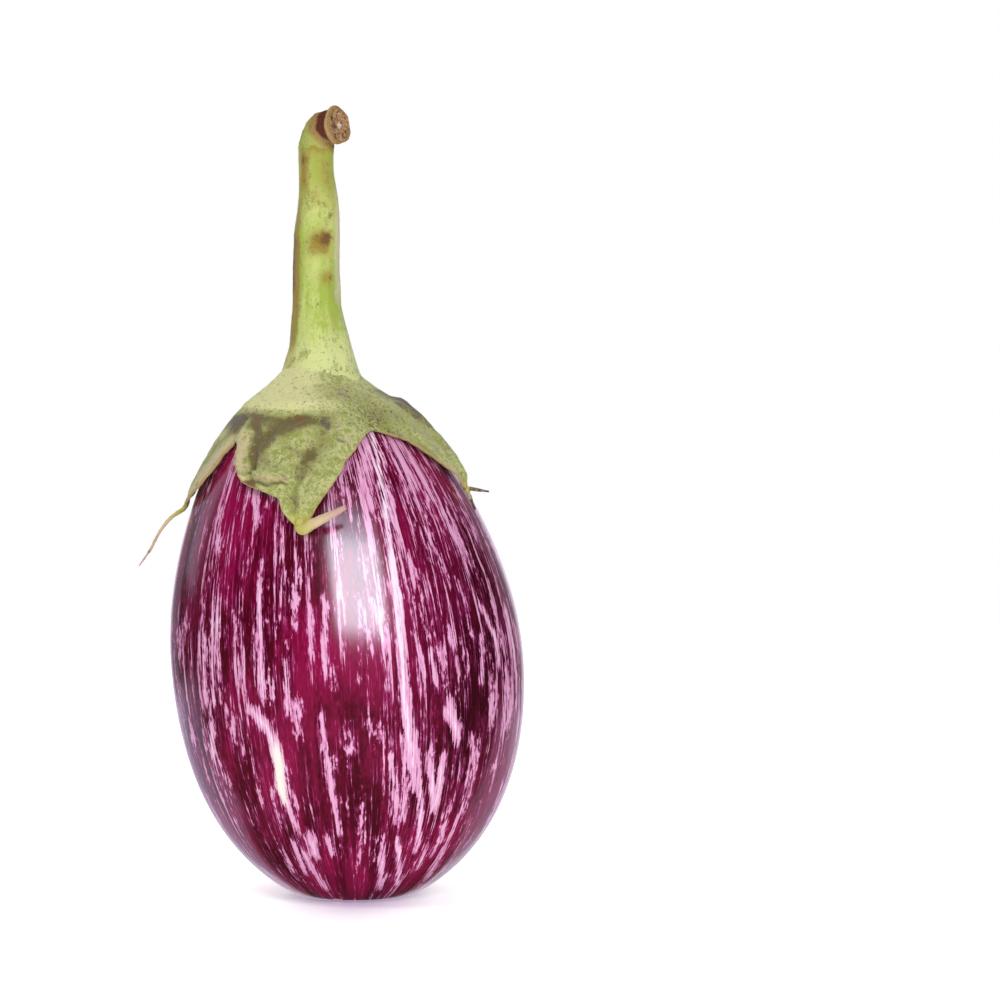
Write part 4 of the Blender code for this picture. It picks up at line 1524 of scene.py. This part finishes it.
@dataclass
class Studio:
    """The pale floor, the soft lights and the camera."""

    middle: Place = (0.0, 0.0, 70 * MM)
    floor_radius: float = 0.75
    seen_white: float = 1.0
    cast_white: float = 0.03
    lights: tuple[Softbox, ...] = (
        Softbox("front_box", 15.5, 27, 1.3, (0.84, 0.62), 11, (0.93, 0.92, 1.0)),
        Softbox("front_glow", 15.5, 29, 1.29, (0.8, 0.86), 8.5, (0.76, 0.8, 1.0), diffuse=False),
        Softbox("left_box", -124, 22, 1.1, (0.4, 0.7), 0.7, (0.8, 0.74, 1.0)),
        Softbox("left_wall", -156, 10, 1.6, (1.1, 1.3), 1.3, (0.86, 0.68, 0.92)),
        Softbox("left_low", -134, -25, 1.5, (1.3, 0.8), 2.2, (0.8, 0.68, 1.0)),
        Softbox("right_wall", 156, 8, 1.6, (1.1, 1.4), 1.35, (0.92, 0.74, 0.95)),
        Softbox("right_low", 136, -24, 1.5, (1.2, 0.8), 1.6, (0.84, 0.72, 1.0)),
        Softbox("back_rim", 180, -4, 1.6, (1.2, 1.9), 6.0, (0.95, 0.84, 1.0), diffuse=False),
        Softbox("back_top", 180, 60, 1.5, (1.6, 1.2), 13, glossy=False),
        Softbox("top_left", -40, 52, 1.2, (0.3, 0.3), 4.0, glossy=False),
    )
    elevation: float = math.radians(3.0)
    distance: float = 0.9
    frame_width: float = 0.22
    aim: tuple[float, float] = (31.79 * MM, 86.46 * MM)
    sensor_width: float = 36.0

    def add_floor(self, finish: bpy.types.Material) -> None:
        """Lays the floor.

        Args:
            finish: Its finish.
        """
        select_only()
        bpy.ops.mesh.primitive_circle_add(vertices=96, radius=self.floor_radius, fill_type="NGON")
        floor = bpy.context.object
        floor.name = "floor"
        floor.data.materials.append(finish)
        floor.visible_glossy = False

    def add_light(self, softbox: Softbox) -> None:
        """Hangs a softbox that faces the fruit.

        Args:
            softbox: The softbox.
        """
        turn, rise = math.radians(softbox.azimuth), math.radians(softbox.elevation)
        way = Vector((math.sin(turn) * math.cos(rise), -math.cos(turn) * math.cos(rise), math.sin(rise)))
        select_only()
        bpy.ops.object.light_add(type="AREA", location=Vector(self.middle) + way * softbox.distance)
        lamp = bpy.context.object
        lamp.name = softbox.name
        lamp.rotation_euler = way.to_track_quat("Z", "Y").to_euler()
        lamp.data.shape = "RECTANGLE"
        lamp.data.size, lamp.data.size_y = softbox.size
        lamp.data.energy = softbox.power
        lamp.data.color = softbox.colour
        lamp.visible_camera = False
        lamp.visible_diffuse = softbox.diffuse
        lamp.visible_glossy = softbox.glossy

    def light_world(self) -> None:
        """Sets the white surroundings: how bright they look, and how much light they give."""
        world = bpy.data.worlds.new("studio")
        bpy.context.scene.world = world
        world.use_nodes = True
        tree = world.node_tree
        background = tree.nodes["Background"]
        background.inputs["Color"].default_value = (1, 1, 1, 1)
        ray = tree.nodes.new("ShaderNodeLightPath")
        strength = tree.nodes.new("ShaderNodeMix")
        strength.inputs["A"].default_value = self.cast_white
        strength.inputs["B"].default_value = self.seen_white
        tree.links.new(ray.outputs["Is Camera Ray"], strength.inputs["Factor"])
        tree.links.new(strength.outputs["Result"], background.inputs["Strength"])

    def add_camera(self) -> None:
        """Sets up the camera at the height and framing of the view."""
        look = Vector((0, math.cos(self.elevation), -math.sin(self.elevation)))
        right = Vector((1, 0, 0))
        up = right.cross(look)
        target = right * self.aim[0] + up * self.aim[1]
        data = bpy.data.cameras.new("camera")
        data.sensor_width = self.sensor_width
        data.lens = self.sensor_width * self.distance / self.frame_width
        camera = bpy.data.objects.new("camera", data)
        camera.location = target - look * self.distance
        camera.rotation_euler = (-look).to_track_quat("Z", "Y").to_euler()
        bpy.context.scene.collection.objects.link(camera)
        bpy.context.scene.camera = camera

    def build(self) -> None:
        """Lays the floor, hangs the lights and sets up the camera."""
        self.add_floor(FloorFinish().make())
        self.light_world()
        for softbox in self.lights:
            self.add_light(softbox)
        bpy.context.scene.view_settings.view_transform = "Standard"
        self.add_camera()


def main() -> None:
    """Builds every piece of the eggplant and its studio, in order."""
    logging.basicConfig(level=logging.INFO, format="%(message)s")
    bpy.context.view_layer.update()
    fruit = Fruit()
    calyx = Calyx(fruit)
    cork = CorkFinish().make()
    fruit.build(SkinFinish().make())
    calyx.build(LeafFinish().make())
    Awns(calyx).build(AwnFinish().make())
    Stalk().build(StemFinish().make())
    StalkEnd().build(cork)
    BlossomScar().build(cork)
    Studio().build()


if __name__ == "__main__":
    main()
